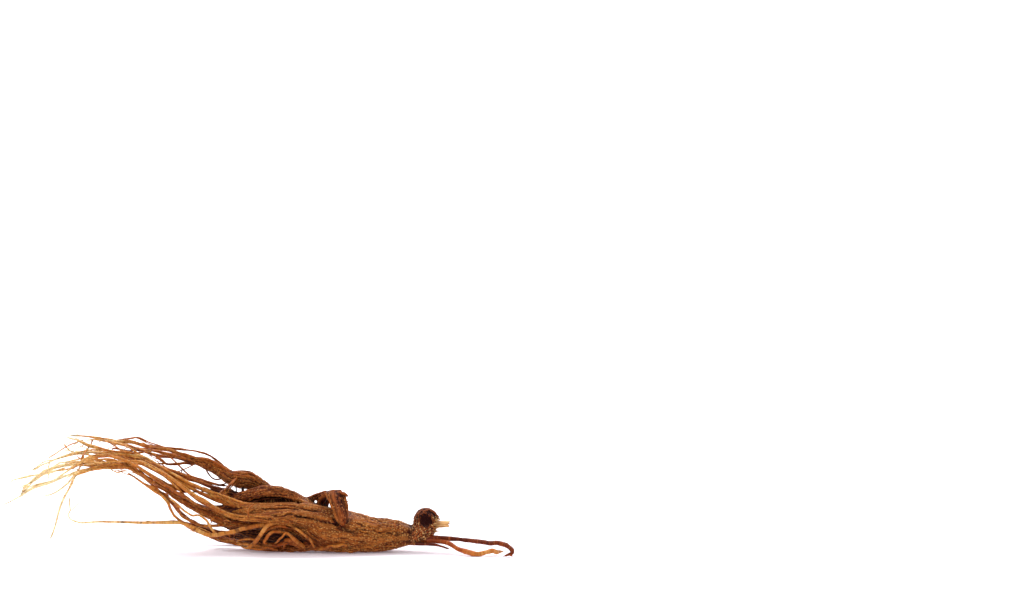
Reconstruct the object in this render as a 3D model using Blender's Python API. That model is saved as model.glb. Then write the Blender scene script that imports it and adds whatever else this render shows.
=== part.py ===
"""Dried red ginseng root, lying as it rests.

The main root, neck, legs and rootlets are one body, and the broken stub of the stem is another.

Places are millimetres in the upright plane through the main root, seen a little from above:
"across" runs from the rootlets (-) to the neck (+), "up" is the height as seen there, and
"depth" is how far behind (+) or in front of (-) that plane a point lies.
"""

import math
import random
from collections import namedtuple

import bmesh
import bpy
import numpy as np
from mathutils import Vector, noise

MM = 0.001

# The eye that the seen heights are measured from.
EYE_RISE = 0.162
EYE_ACROSS = 70.5
EYE_AWAY = 1376.0

# Skin of the main root: its folds run lengthwise and wander round it a little.
BODY_SIDES = 28
BODY_RINGS = 34
BODY_FOLDS = 7
FOLD_DEPTH = 0.045
FOLD_WANDER = 0.8
FOLD_WANDER_SPAN = 17.0
LUMP_DEPTH = 0.05
LUMP_SIZE = 9.0
LUMPS_ROUND = 1.7

# Legs and rootlets.
LEG_SIDES = 10
LEG_RING_SPACING = 3.0
LEG_FOLDS = 3
LEG_FOLD_DEPTH = 0.09
LEG_FOLD_TURN = 0.35
LEG_LUMP_DEPTH = 0.1
ROOTLET_SIDES = 4
ROOTLET_RING_SPACING = 4.6
ROOTLET_TURN = 0.5
THINNEST = 0.3
TIP_SHARE = 0.25

# Dried rootlets keep small bends, and wander nearer and further, which leaves where they are seen.
KINK = 0.35
KINK_STEP = 0.61
KINK_FULL_RADIUS = 0.7
SWAY = 7.0
SWAY_SPAN = 26.0
SWAY_DEPTH_SPAN = 5.0
SWAY_GROWS = (40.0, 90.0)

# How far apart the noise of two limbs is taken.
NOISE_STRIDE = 3.7

# Rootlets that run beside the seen ones, behind and between them.
COMPANIONS = 12
COMPANION_SEED = 11
COMPANION_SPREAD = (3.0, 8.0)
COMPANION_SPREAD_START = 0.6
COMPANION_RADIUS = (0.75, 0.35)
COMPANION_LIFT = 1.3
COMPANION_SKIPS = (1, 3)
COMPANION_DROPS = (0, 3)

# The stub of last year's stem, and the hole that it stands in.
STUB_BASE = (36.4, 0.0, 10.7)
STUB_TIP = (44.6, -0.6, 11.3)
STUB_BASE_RADIUS = 1.35
STUB_TIP_RADIUS = 0.95
STUB_SIDES = 12
STUB_RIB = 0.09
STUB_RINGS = 5
PITH_RADIUS = 0.45
PITH_DEPTH = 1.2
PITH_SIDES = 8
SOCKET_GAP = 0.35
SOCKET_LENGTH = 7.0

# The scar that the stem before it left on top of the neck.
SCAR_CENTRE = (37.6, -3.4, 16.6)
SCAR_RADIUS = 3.1

SCAR_RINGS = 8
SCAR_SIDES = 12

# What lies below the surface that the root rests on is cut off, which leaves a flat on its belly.
BELLY_CUT_LOW = (-150, -60, -30)
BELLY_CUT_HIGH = (100, 60, 0)

ROOT_COLOUR = (0.32, 0.15, 0.05, 1.0)
ROOT_ROUGHNESS = 0.5
STUB_COLOUR = (0.66, 0.45, 0.20, 1.0)
STUB_ROUGHNESS = 0.7

Limb = namedtuple("Limb", "name points depth radius")

# Main root: across, up, depth, half height, half width.
BODY = (
    (31.0, 6.8, 0.0, 3.7, 3.7),
    (28.5, 6.8, 0.0, 4.2, 4.3),
    (25.0, 7.0, 0.0, 5.4, 5.6),
    (21.0, 7.0, 0.0, 6.5, 6.8),
    (16.0, 6.8, 0.0, 7.1, 7.8),
    (10.0, 7.2, 0.0, 7.7, 8.6),
    (4.0, 7.9, 0.0, 8.6, 9.2),
    (-2.0, 8.5, 0.0, 9.2, 9.5),
    (-8.0, 10.2, 0.0, 9.8, 9.4),
    (-14.0, 13.2, 1.0, 9.4, 8.6),
    (-21.0, 15.0, 2.4, 8.6, 7.4),
    (-28.0, 16.2, 3.8, 7.6, 6.2),
    (-34.0, 17.0, 4.8, 5.8, 4.8),
    (-39.0, 17.6, 5.0, 3.2, 2.8),
)

NECK = (
    Limb(
        "neck",
        [(26, 6.8), (30, 6.6), (33, 7.8), (34.4, 10.6), (34.4, 13.6), (34.6, 16.8)],
        [0, 0, -0.3, -0.3, -0.2, 0],
        [4.4, 4.0, 4.6, 4.9, 4.8, 3.2],
    ),
    Limb(
        "collar",
        [(34.5, 9.0), (37, 10.0), (40.0, 10.8)],
        [0, -0.2, -0.3],
        [3.8, 3.1, 2.0],
    ),
)

LEGS = (
    Limb(
        "lobe",
        [(2, 10), (-6, 12.4), (-14, 15), (-21, 16.4), (-28, 16.7), (-33, 16.7), (-36.8, 16.8)],
        [-2, -3.2, -4.2, -4.8, -5, -4.8, -4.6],
        [6.4, 6.0, 5.3, 4.7, 4.3, 3.9, 3.1],
    ),
    Limb(
        "back_leg",
        [(-10, 17), (-18, 22.6), (-24, 25.4), (-30, 27.2), (-36, 29.6), (-41, 30.4), (-45, 31.2),
         (-49, 33.8), (-54, 36.6), (-58, 37.8), (-62, 39)],
        [4, 7, 9, 10, 10, 10, 10, 11, 12, 12, 12],
        [4.0, 3.6, 3.4, 3.4, 3.5, 3.3, 2.8, 2.3, 2.1, 1.6, 0.9],
    ),
    Limb(
        "top_leg",
        [(-6, 13), (-12, 18.4), (-18, 22), (-24, 24), (-30, 24.3), (-35, 23.2), (-40, 22), (-44, 21.4)],
        [1, 1, 2, 3, 3, 3, 3, 3],
        [4.6, 4.6, 4.0, 3.4, 3.9, 3.2, 2.0, 0.8],
    ),
    Limb(
        "upper_leg",
        [(-4, 12), (-10, 16), (-16, 17.8), (-24, 18), (-31, 18.3), (-37, 18.5), (-41, 19.2),
         (-45, 20.6), (-50, 22.8), (-56, 25.4)],
        [-2, -3, -4, -5, -5, -4, -3, -2, -2, -2],
        [4.4, 4.2, 3.2, 2.7, 2.3, 1.8, 1.6, 1.5, 1.4, 1.25],
    ),
    Limb(
        "middle_leg",
        [(-2, 9), (-8, 12), (-14, 13.8), (-20, 14), (-26, 13.7), (-31, 13.8), (-36, 13.8), (-40, 13.8),
         (-45, 14.8), (-50, 16.8)],
        [-3, -4, -6, -7, -8, -8, -7, -6, -5, -5],
        [5.0, 4.8, 4.2, 3.7, 3.2, 2.5, 1.8, 1.4, 1.2, 1.15],
    ),
    Limb(
        "hairy_leg",
        [(-12, 10.5), (-20, 11), (-28, 11.3), (-35, 11.6), (-41, 12.2), (-47, 13.2), (-53, 15.6),
         (-59, 18), (-65, 20.8), (-70, 23.6)],
        [0, 0, 0, 0, 0, -1, -1, -2, -3, -4],
        [3.4, 3.0, 2.6, 2.3, 2.4, 2.5, 2.4, 2.1, 1.6, 1.2],
    ),
    Limb(
        "core_leg",
        [(-31, 16.4), (-37, 16.6), (-44, 18), (-50, 20.4), (-56, 23.4), (-62, 27)],
        [4.2, 4.6, 5, 5, 5, 4],
        [5.0, 3.8, 2.8, 2.2, 1.7, 1.1],
    ),
    Limb(
        "front_leg",
        [(-6, 3.4), (-12, 2.3), (-18, 1.2), (-24, 1.3), (-30, 1.5), (-36, 2.0), (-42, 3.6), (-48, 5.2),
         (-54, 6.5)],
        [-4, -4, -3, -1, 1, 4, 7, 9, 8],
        [3.0, 2.2, 1.6, 1.7, 1.6, 1.5, 1.3, 1.1, 0.85],
    ),
    Limb(
        "lower_leg",
        [(-6, 8), (-14, 6.0), (-22, 5.2), (-30, 5.1), (-38, 5.0), (-46, 6.6), (-54, 9), (-61, 12)],
        [3, 7, 10, 13, 16, 18, 18, 17],
        [5.2, 4.4, 3.7, 3.2, 2.6, 2.0, 1.5, 1.0],
    ),
)

# A side root: a flattened arm that climbs the front of the main root and folds over behind it.
# Its widths are shares of the radius at its start and end.
ARM = (
    Limb(
        "arm",
        [(0.4, 7.5), (0.6, 11), (0.2, 15), (-0.6, 19), (-1.2, 22.3), (-1.8, 24.4)],
        [-6.5, -8.2, -8.2, -6.6, -4.6, -2.4],
        [1.7, 1.7, 1.6, 1.5, 1.4, 1.2],
    ),
    Limb(
        "fold",
        [(-0.6, 24.2), (-3.6, 24.2), (-6.2, 22.4), (-7.0, 19.8), (-7.4, 16)],
        [-2.4, 0.6, 2.6, 3.6, 3.8],
        [1.4, 1.5, 1.6, 1.7, 1.8],
    ),
    Limb(
        "flap",
        [(-5, 24.2), (-9, 23.8), (-12, 23.0), (-15.5, 21.6)],
        [0.8, 2.4, 3.4, 4.0],
        [0.9, 0.85, 0.9, 0.9],
    ),
)
ARM_WIDTHS = {"arm": (1.2, 2.7), "fold": (1.9, 1.4), "flap": (1.0, 1.0)}

ROOTLETS = (
    # Rootlets of the back leg, along the top.
    Limb(
        "top_a",
        [(-57, 37.8), (-62, 39.8), (-68, 42), (-75, 43.7), (-82, 45.2), (-90, 46.2), (-97, 47),
         (-104, 48.2), (-110.5, 48.8)],
        [12, 12, 13, 14, 15, 15, 15, 16, 17],
        [1.2, 1.0, 0.95, 0.9, 0.9, 0.85, 0.75, 0.6, 0.4],
    ),
    Limb(
        "top_b",
        [(-58, 36.8), (-64, 39), (-71, 41), (-79, 42.6), (-86, 43.7), (-93, 45.4), (-100, 46.8),
         (-105, 46.6)],
        [11, 10, 9, 9, 10, 11, 12, 12],
        [0.9, 0.8, 0.75, 0.7, 0.65, 0.6, 0.5, 0.35],
    ),
    Limb(
        "top_c",
        [(-59, 36.6), (-65, 38.9), (-72, 39.6), (-78, 41.2), (-84, 42.6), (-91, 42.2)],
        [12, 13, 14, 15, 16, 17],
        [0.8, 0.7, 0.65, 0.6, 0.55, 0.35],
    ),
    Limb(
        "top_d",
        [(-59, 36), (-65, 36.5), (-70, 36.7), (-75, 39), (-80, 41.8), (-85, 43)],
        [11, 10, 8, 7, 7, 8],
        [0.85, 0.75, 0.7, 0.65, 0.6, 0.4],
    ),
    Limb(
        "top_hair",
        [(-47, 35.2), (-51, 38.4), (-56, 41.2), (-63, 42.4), (-70, 43.2), (-77, 45), (-83, 47.5),
         (-89, 47), (-94, 45.6)],
        [11, 12, 13, 14, 15, 16, 17, 17, 16],
        [0.5, 0.5, 0.45, 0.4, 0.35, 0.3, 0.3, 0.3, 0.3],
    ),
    Limb(
        "strut",
        [(-41, 32), (-43.2, 29.6), (-46, 25.6), (-48.6, 22.4), (-51, 21.4)],
        [7, 4, 2, -1, -2],
        [1.1, 1.1, 1.05, 1.0, 0.9],
    ),
    # The thick sheaf over the middle.
    Limb(
        "sheaf_a",
        [(-52, 23.6), (-60, 27.2), (-67, 30.8), (-73, 34.4), (-79, 38.2), (-86, 40.6), (-94, 40.6),
         (-102, 41.2), (-109, 40.4), (-116, 38.6), (-121, 36.8), (-126, 34)],
        [-2, -1, 0, 1, 2, 3, 4, 5, 6, 7, 8, 9],
        [1.4, 1.35, 1.3, 1.2, 1.1, 1.1, 1.05, 0.95, 0.85, 0.75, 0.6, 0.35],
    ),
    Limb(
        "sheaf_b",
        [(-46, 15.2), (-51, 17.2), (-57, 20.6), (-63, 24.8), (-69, 29), (-75, 33), (-81, 37),
         (-88, 39.4), (-96, 38.8), (-104, 37), (-112, 36.2), (-118, 34.2), (-123, 31.4), (-127, 28),
         (-130.5, 25.2)],
        [-5, -5, -5, -4, -4, -3, -3, -2, -1, 0, 0, -1, -2, -3, -3],
        [1.2, 1.2, 1.15, 1.1, 1.05, 1.0, 1.0, 0.95, 0.9, 0.8, 0.7, 0.6, 0.5, 0.4, 0.3],
    ),
    Limb(
        "sheaf_c",
        [(-67, 22), (-73, 25.4), (-79, 29.8), (-85, 33.6), (-91, 35.8), (-98, 36.4), (-105, 36.2),
         (-111, 34.6), (-115.5, 31.4), (-120, 28), (-126, 25.4), (-131, 21.8), (-138, 18.8)],
        [-4, -5, -6, -7, -8, -8, -9, -9, -10, -10, -11, -12, -13],
        [1.2, 1.15, 1.1, 1.1, 1.05, 0.95, 0.85, 0.8, 0.75, 0.7, 0.65, 0.5, 0.3],
    ),
    Limb(
        "sheaf_d",
        [(-64, 25.4), (-70, 27.4), (-76, 30.6), (-82, 34.8), (-88, 35.2), (-95, 34.8), (-101, 33.8),
         (-107, 32.2), (-113, 30.4)],
        [-1, -2, -4, -5, -5, -6, -6, -7, -8],
        [1.0, 1.0, 1.0, 0.95, 0.9, 0.85, 0.75, 0.6, 0.3],
    ),
    Limb(
        "sheaf_e",
        [(-47, 25.2), (-52, 26.6), (-58, 29.6), (-65, 32), (-71, 34), (-77, 36.4), (-84, 39),
         (-91, 41.6), (-98, 43.2), (-104, 45), (-108, 46.8), (-111, 48.2)],
        [6, 6, 5, 5, 5, 4, 5, 6, 7, 8, 9, 9],
        [1.1, 1.1, 1.05, 1.0, 1.0, 1.1, 1.1, 1.1, 1.0, 0.9, 0.7, 0.4],
    ),
    Limb(
        "sheaf_f",
        [(-44, 27.4), (-50, 27.8), (-56, 28.6), (-62, 30.4), (-69, 32.4), (-76, 34.6), (-83, 37.8),
         (-90, 39.6), (-97, 39.6), (-104, 38.8), (-111, 37.2)],
        [8, 7, 6, 4, 2, 1, 0, 0, 1, 2, 3],
        [0.9, 0.9, 0.9, 0.85, 0.85, 0.8, 0.8, 0.7, 0.6, 0.5, 0.3],
    ),
    Limb(
        "sheaf_g",
        [(-56, 17), (-62, 20.6), (-68, 24.6), (-74, 29.2), (-80, 32.6), (-86, 36.4), (-92, 38),
         (-99, 37.4), (-106, 35.4), (-113, 34), (-120, 32.6), (-127, 31), (-134, 28.4)],
        [-4, -5, -6, -6, -7, -6, -5, -5, -5, -5, -5, -6, -6],
        [0.9, 0.9, 0.9, 0.85, 0.85, 0.8, 0.75, 0.65, 0.55, 0.45, 0.4, 0.35, 0.3],
    ),
    Limb(
        "core_a",
        [(-56, 23.6), (-63, 28), (-70, 31.8), (-78, 35.2), (-87, 37.2), (-96, 36.6), (-105, 34.8),
         (-113, 31.8), (-118, 29)],
        [5, 6, 8, 9, 11, 12, 12, 13, 13],
        [1.1, 1.0, 0.9, 0.85, 0.8, 0.7, 0.6, 0.45, 0.3],
    ),
    Limb(
        "drop_long",
        [(-100, 34.6), (-104.5, 33.2), (-108, 31.4), (-110, 27.4), (-112.6, 22.8), (-114.6, 18),
         (-116, 13), (-117.4, 8.8), (-118.8, 4.8)],
        [-6, -6, -7, -8, -9, -9, -9, -9, -9],
        [0.7, 0.65, 0.6, 0.55, 0.5, 0.48, 0.45, 0.4, 0.3],
    ),
    Limb(
        "drop_short",
        [(-101, 33.8), (-108.4, 31.2), (-111.6, 27.8), (-115.4, 24.6), (-119, 22.8), (-121.5, 23)],
        [-6, -8, -10, -11, -12, -12],
        [0.6, 0.5, 0.45, 0.4, 0.35, 0.3],
    ),
    Limb(
        "under_a",
        [(-70, 22.8), (-75, 25.2), (-80, 27.8)],
        [-6, -8, -9],
        [0.8, 0.6, 0.35],
    ),
    Limb(
        "stray_a",
        [(-100.6, 47), (-103, 43), (-105.4, 38.6), (-106.2, 35.4), (-108.4, 31.6)],
        [14, 7, 1, -4, -8],
        [0.35, 0.35, 0.35, 0.35, 0.35],
    ),
    # Rootlets of the middle, hairy and front legs.
    Limb(
        "long_low",
        [(-30, 11.2), (-35, 10.2), (-41, 9.2), (-46, 7.6), (-50, 6.6), (-54, 7.2), (-59, 9.2),
         (-64.5, 11.6), (-70, 12.1), (-78, 12), (-88, 11.8), (-98, 12), (-106, 12.1), (-110, 13),
         (-111.3, 14.9), (-110.4, 17), (-110.6, 23)],
        [-7, -8, -8, -8, -8, -8, -8, -8, -8, -8, -7, -7, -7, -7, -7, -7, -7],
        [1.0, 0.95, 0.9, 0.9, 0.9, 0.9, 0.85, 0.8, 0.75, 0.6, 0.5, 0.4, 0.35, 0.3, 0.3, 0.3, 0.3],
    ),
    Limb(
        "low_climb",
        [(-63, 11.2), (-66.5, 13.6), (-69, 17), (-71, 20.4), (-75, 24), (-81, 28.6), (-87, 32.4)],
        [-8, -8, -8, -8, -8, -8, -8],
        [0.75, 0.75, 0.75, 0.75, 0.7, 0.6, 0.4],
    ),
    Limb(
        "low_curve",
        [(-46, 10.8), (-51, 10.6), (-57, 11), (-61.5, 12.4), (-65, 15), (-66.4, 18.4), (-69, 21.4),
         (-74, 25)],
        [-2, -4, -5, -6, -6, -6, -6, -6],
        [0.9, 0.85, 0.8, 0.75, 0.7, 0.65, 0.6, 0.4],
    ),
    Limb(
        "pale_curve",
        [(-51, 7.4), (-52.8, 10), (-55, 13), (-58, 15), (-61, 15.1), (-64.5, 17.2), (-68, 20.4),
         (-73, 23.4)],
        [-8, -8, -8, -8, -8, -8, -8, -8],
        [0.6, 0.6, 0.55, 0.5, 0.5, 0.5, 0.45, 0.35],
    ),
    Limb(
        "front_long",
        [(-48, 5.3), (-54, 6.6), (-59, 8.6), (-64, 10.8)],
        [8, 5, 0, -6],
        [0.9, 0.85, 0.8, 0.6],
    ),
    Limb(
        "lower_run",
        [(-57, 10.2), (-63, 14.2), (-68, 19), (-73, 23.8), (-79, 28.6), (-86, 32.6), (-94, 34.4)],
        [18, 17, 16, 15, 14, 13, 13],
        [1.1, 0.95, 0.9, 0.85, 0.75, 0.6, 0.35],
    ),
    Limb(
        "lower_back",
        [(-57, 10.2), (-63, 12.4), (-70, 14), (-76, 14.6), (-81, 14.2)],
        [18, 20, 22, 23, 23],
        [0.9, 0.8, 0.65, 0.5, 0.35],
    ),
    # Curls in front of the belly.
    Limb(
        "arch",
        [(-17, 9.6), (-20.5, 11.6), (-24.5, 12.1), (-28.5, 11.2), (-31.8, 8.8), (-33.6, 6),
         (-35.6, 3.4), (-38.4, 2.0), (-41.5, 2.6)],
        [-8, -9, -9.5, -9.5, -9, -7, -4, -1, 1],
        [0.9, 0.95, 1.0, 1.0, 1.0, 1.0, 0.95, 0.9, 0.6],
    ),
    Limb(
        "arch_strand",
        [(-9.6, 1.8), (-13.4, 5.2), (-17, 8.8), (-20, 11)],
        [-8.2, -9.2, -9.4, -9],
        [0.45, 0.5, 0.5, 0.5],
    ),
    Limb(
        "curl_a",
        [(-18.6, 9.4), (-23.5, 9.2), (-27.6, 7.9), (-29.6, 5.8), (-31.2, 3.2), (-33, 1.8)],
        [-6, -7, -8, -7, -5, -2],
        [0.8, 0.85, 0.9, 0.9, 0.9, 0.7],
    ),
    Limb(
        "curl_b",
        [(-14.4, 2.2), (-17.6, 4.8), (-20.2, 6.6), (-22.3, 7.1), (-23.8, 5.6), (-25.2, 3.6),
         (-27.2, 1.8)],
        [-5, -7, -8, -8.4, -8, -6, -3],
        [0.9, 1.0, 1.0, 1.0, 0.95, 0.9, 0.7],
    ),
    Limb(
        "curl_c",
        [(-17, 1.6), (-20.4, 2.8), (-22.4, 2.7), (-23.6, 0.7)],
        [-5, -7, -8, -8],
        [1.0, 0.95, 0.8, 0.45],
    ),
    Limb(
        "toe",
        [(-9, 1.4), (-5, 1.2), (-1, 1.5), (2.6, 2.4)],
        [-5, -7, -8, -8.4],
        [1.2, 1.0, 0.85, 0.5],
    ),
    # Rootlets of the neck.
    Limb(
        "neck_a",
        [(33, 5), (38, 5.5), (45, 5), (51, 4.4), (57, 3.1), (61, 2.4), (64.5, 2.8), (67.6, 1.9),
         (69.8, 0.2), (69.6, -1.4), (67, -2.1)],
        [-1, -2, -3, -4, -6, -8, -10, -12, -14, -15.6, -16.2],
        [1.2, 1.0, 0.9, 0.95, 1.0, 1.0, 0.95, 0.85, 0.75, 0.6, 0.35],
    ),
    Limb(
        "neck_b",
        [(33, 4.6), (38, 4.2), (43, 3.2), (48, 1.5), (53, -0.7), (57, -1.3), (61, -0.4), (64, 0.1),
         (67, 0.2)],
        [-1, -3, -5, -8, -11.5, -13.2, -12, -10, -9],
        [1.1, 0.95, 0.9, 0.9, 0.95, 1.0, 0.9, 0.7, 0.35],
    ),
    Limb(
        "neck_c",
        [(31, 3.6), (35, 3.3), (40, 2.4), (45, 0.4)],
        [-2, -4, -6, -7],
        [0.8, 0.6, 0.5, 0.35],
    ),
)

# Rootlets that companions may follow.
SHEAF = ("sheaf_a", "sheaf_b", "sheaf_c", "sheaf_e", "sheaf_f", "sheaf_g", "top_a", "top_b")


def clear_scene():
    """Empty the scene that the script was opened in."""
    for obj in list(bpy.data.objects):
        bpy.data.objects.remove(obj)


def principled(name, colour, roughness):
    """A plain Principled BSDF material."""
    material = bpy.data.materials.new(name)
    material.use_nodes = True
    shader = material.node_tree.nodes["Principled BSDF"]
    shader.inputs["Base Color"].default_value = colour
    shader.inputs["Roughness"].default_value = roughness
    shader.inputs["Metallic"].default_value = 0.0
    return material


def as_laid(across, up, depth):
    """The true place, in millimetres, of a point that is seen at (across, up) and lies at depth."""
    return np.array([
        across - depth * (EYE_ACROSS - across) / EYE_AWAY,
        depth,
        up - depth * EYE_RISE,
    ])


def spread(values, share):
    """Evenly spaced values read at shares from 0 to 1 of their run."""
    return np.interp(share, np.linspace(0, 1, len(values)), values)


def smooth_line(points, count):
    """Count points along a Catmull-Rom curve through the given ones, and the share of the way at each."""
    points = np.asarray(points, float)
    padded = np.vstack([2 * points[0] - points[1], points, 2 * points[-1] - points[-2]])
    shares = np.linspace(0, 1, count)
    line = []
    for share in shares:
        at = share * (len(points) - 1)
        span = min(int(at), len(points) - 2)
        t = at - span
        a, b, c, d = padded[span:span + 4]
        bend = (2 * a - 5 * b + 4 * c - d) * t ** 2
        twist = (3 * b - a - 3 * c + d) * t ** 3
        line.append((2 * b + (c - a) * t + bend + twist) / 2)
    return np.array(line), shares


def frames_along(line):
    """Two side directions at each point of a line, carried along it without twist."""
    along = np.gradient(np.asarray(line, float), axis=0)
    along /= np.linalg.norm(along, axis=1)[:, None]
    side = np.cross(along[0], (0, 0, 1))
    side /= np.linalg.norm(side)
    sides = []
    for direction in along:
        side = side - direction * side.dot(direction)
        side /= np.linalg.norm(side)
        sides.append(side)
    sides = np.array(sides)
    return sides, np.cross(along, sides)


def skin_mesh(name, rings, tail, tip):
    """A closed skin over rings of points, with a point past each end."""
    count, sides = len(rings), len(rings[0])
    points = np.vstack([np.reshape(rings, (-1, 3)), [tail, tip]]) * MM
    first, last = count * sides, count * sides + 1
    end_ring = (count - 1) * sides
    faces = []
    for side in range(sides):
        after = (side + 1) % sides
        for ring in range(0, end_ring, sides):
            faces.append((ring + side, ring + after, ring + sides + after, ring + sides + side))
        faces.append((after, side, first))
        faces.append((end_ring + side, end_ring + after, last))
    mesh = bpy.data.meshes.new(name)
    mesh.from_pydata(points.tolist(), [], faces)
    mesh.shade_smooth()
    return bpy.data.objects.new(name, mesh)


def swayed(across, depth):
    """The depth after the wander that neighbouring limbs share, which grows towards their tips."""
    wave = noise.noise(Vector((across / SWAY_SPAN, depth / SWAY_DEPTH_SPAN, 0)))
    return depth + SWAY * wave * np.interp(-across, SWAY_GROWS, (0, 1))


def limb_line(limb, spacing):
    """Places and radii along a leg or rootlet, with rings about spacing apart."""
    laid = [as_laid(x, z, swayed(x, depth)) for (x, z), depth in zip(limb.points, limb.depth)]
    length = np.linalg.norm(np.diff(laid, axis=0), axis=1).sum()
    line, shares = smooth_line(laid, max(4, round(length / spacing)))
    return line, spread(limb.radius, shares)


def kinked(line, radii, seed):
    """The line with the small bends that a dried rootlet keeps."""
    moved = line.copy()
    for i in range(1, len(line) - 1):
        push = noise.noise_vector(Vector((seed * NOISE_STRIDE, i * KINK_STEP, 0)))
        moved[i] += np.array(push) * KINK * min(1.0, radii[i] / KINK_FULL_RADIUS)
    return moved


def ends_of(line):
    """The points that close a skin, a little past the two ends of its line."""
    tail = line[0] - (line[1] - line[0]) * TIP_SHARE
    tip = line[-1] + (line[-1] - line[-2]) * TIP_SHARE
    return tail, tip


def tube_object(name, line, sides, reach_at, turn=0.0):
    """A closed tube along a line. The reach is asked for by ring and angle, as across and upward."""
    across, upward = frames_along(line)
    rings = []
    for i, centre in enumerate(line):
        ring = []
        for angle in np.linspace(0, 2 * math.pi, sides, endpoint=False) + turn:
            wide, high = reach_at(i, angle)
            ring.append(centre + wide * math.cos(angle) * across[i] + high * math.sin(angle) * upward[i])
        rings.append(ring)
    return skin_mesh(name, rings, *ends_of(line))


def leg_object(limb, widths=(1.0, 1.0), seed=0):
    """A thick leg, with lengthwise folds."""
    line, radii = limb_line(limb, LEG_RING_SPACING)
    broad = np.linspace(*widths, len(line))

    def reach_at(i, angle):
        fold = LEG_FOLD_DEPTH * math.cos(LEG_FOLDS * angle + LEG_FOLD_TURN * i + seed)
        place = Vector((line[i][0] / LUMP_SIZE, angle, seed * NOISE_STRIDE))
        reach = radii[i] * (1 + fold + LEG_LUMP_DEPTH * noise.noise(place))
        return reach * broad[i], reach

    return tube_object(limb.name, line, LEG_SIDES, reach_at)


def rootlet_object(limb, seed):
    """A thin rootlet with few sides."""
    line, radii = limb_line(limb, ROOTLET_RING_SPACING)
    line = kinked(line, radii, seed)

    def reach_at(i, _):
        return (max(THINNEST, radii[i]),) * 2

    return tube_object(limb.name, line, ROOTLET_SIDES, reach_at, ROOTLET_TURN)


def body_object():
    """The main root: an oval body with lengthwise folds and soft lumps."""
    stations = np.array(BODY)
    laid = [as_laid(across, up, depth) for across, up, depth in stations[:, :3]]
    line, shares = smooth_line(laid, BODY_RINGS)
    high, wide = (spread(stations[:, column], shares) for column in (3, 4))
    rings = []
    for i, (across, depth, up) in enumerate(line):
        wander = FOLD_WANDER * math.sin(across / FOLD_WANDER_SPAN)
        ring = []
        for angle in np.linspace(0, 2 * math.pi, BODY_SIDES, endpoint=False):
            around = LUMPS_ROUND * math.cos(angle), LUMPS_ROUND * math.sin(angle)
            lump = LUMP_DEPTH * noise.noise(Vector((across / LUMP_SIZE, *around)))
            reach = 1 + FOLD_DEPTH * math.cos(BODY_FOLDS * angle + wander) + lump
            side = depth - wide[i] * reach * math.cos(angle)
            ring.append((across, side, up + high[i] * reach * math.sin(angle)))
        rings.append(ring)
    return skin_mesh("root", rings, *ends_of(line))


def companions():
    """Rootlets beside the seen ones, drawn with a fixed seed."""
    draw = random.Random(COMPANION_SEED)
    named = {limb.name: limb for limb in ROOTLETS}
    made = []
    for number in range(COMPANIONS):
        parent = named[SHEAF[number % len(SHEAF)]]
        aside = draw.uniform(*COMPANION_SPREAD) * (-1) ** number
        start = draw.randint(*COMPANION_SKIPS)
        end = len(parent.points) - draw.randint(*COMPANION_DROPS)
        lift = draw.uniform(-COMPANION_LIFT, COMPANION_LIFT)
        shares = np.linspace(0, 1, end - start)
        seen = [(x, z + lift * share) for (x, z), share in zip(parent.points[start:end], shares)]
        apart = aside * np.minimum(1, shares / COMPANION_SPREAD_START)
        depth = np.array(parent.depth[start:end]) + apart
        radius = np.interp(shares, (0, 1), COMPANION_RADIUS)
        made.append(Limb(f"companion_{number}", seen, list(depth), list(radius)))
    return made


def drop_scraps(mesh):
    """Keep the largest body of a mesh, without the specks and sealed pockets that a union leaves."""
    shape = bmesh.new()
    shape.from_mesh(mesh)
    loose = set(shape.verts)
    bodies = []
    while loose:
        reached = {loose.pop()}
        edge_of = list(reached)
        while edge_of:
            for edge in edge_of.pop().link_edges:
                for vert in edge.verts:
                    if vert in loose:
                        loose.discard(vert)
                        reached.add(vert)
                        edge_of.append(vert)
        bodies.append(reached)
    bodies.sort(key=len)
    for body in bodies[:-1]:
        bmesh.ops.delete(shape, geom=list(body), context="VERTS")
    shape.to_mesh(mesh)
    shape.free()


def joined(base, pieces):
    """The base and the pieces as one body, by one Boolean union."""
    limbs = bpy.data.collections.new("limbs")
    for piece in pieces:
        limbs.objects.link(piece)
    bpy.context.scene.collection.children.link(limbs)
    bpy.context.scene.collection.objects.link(base)
    union = base.modifiers.new("join limbs", "BOOLEAN")
    union.operation = "UNION"
    union.operand_type = "COLLECTION"
    union.collection = limbs
    union.solver = "MANIFOLD"
    graph = bpy.context.evaluated_depsgraph_get()
    mesh = bpy.data.meshes.new_from_object(base.evaluated_get(graph))
    drop_scraps(mesh)
    base.modifiers.clear()
    base.data = mesh
    for piece in pieces:
        bpy.data.objects.remove(piece)
    bpy.data.collections.remove(limbs)
    return base


def cut(base, cutter, name):
    """Take the cutter out of the base, and keep it as a helper that no render shows."""
    bpy.context.scene.collection.objects.link(cutter)
    cutter.hide_render = True
    cutter.display_type = "WIRE"
    difference = base.modifiers.new(name, "BOOLEAN")
    difference.operation = "DIFFERENCE"
    difference.solver = "MANIFOLD"
    difference.object = cutter


def rod_object(name, start, end, radii, sides, rib=0.0):
    """A straight closed rod between two places, with lengthwise ribs."""
    line = np.linspace(start, end, len(radii))
    ribs = round(sides / 2)

    def reach_at(i, angle):
        return (radii[i] + rib * math.cos(ribs * angle),) * 2

    return tube_object(name, line, sides, reach_at)


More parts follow.
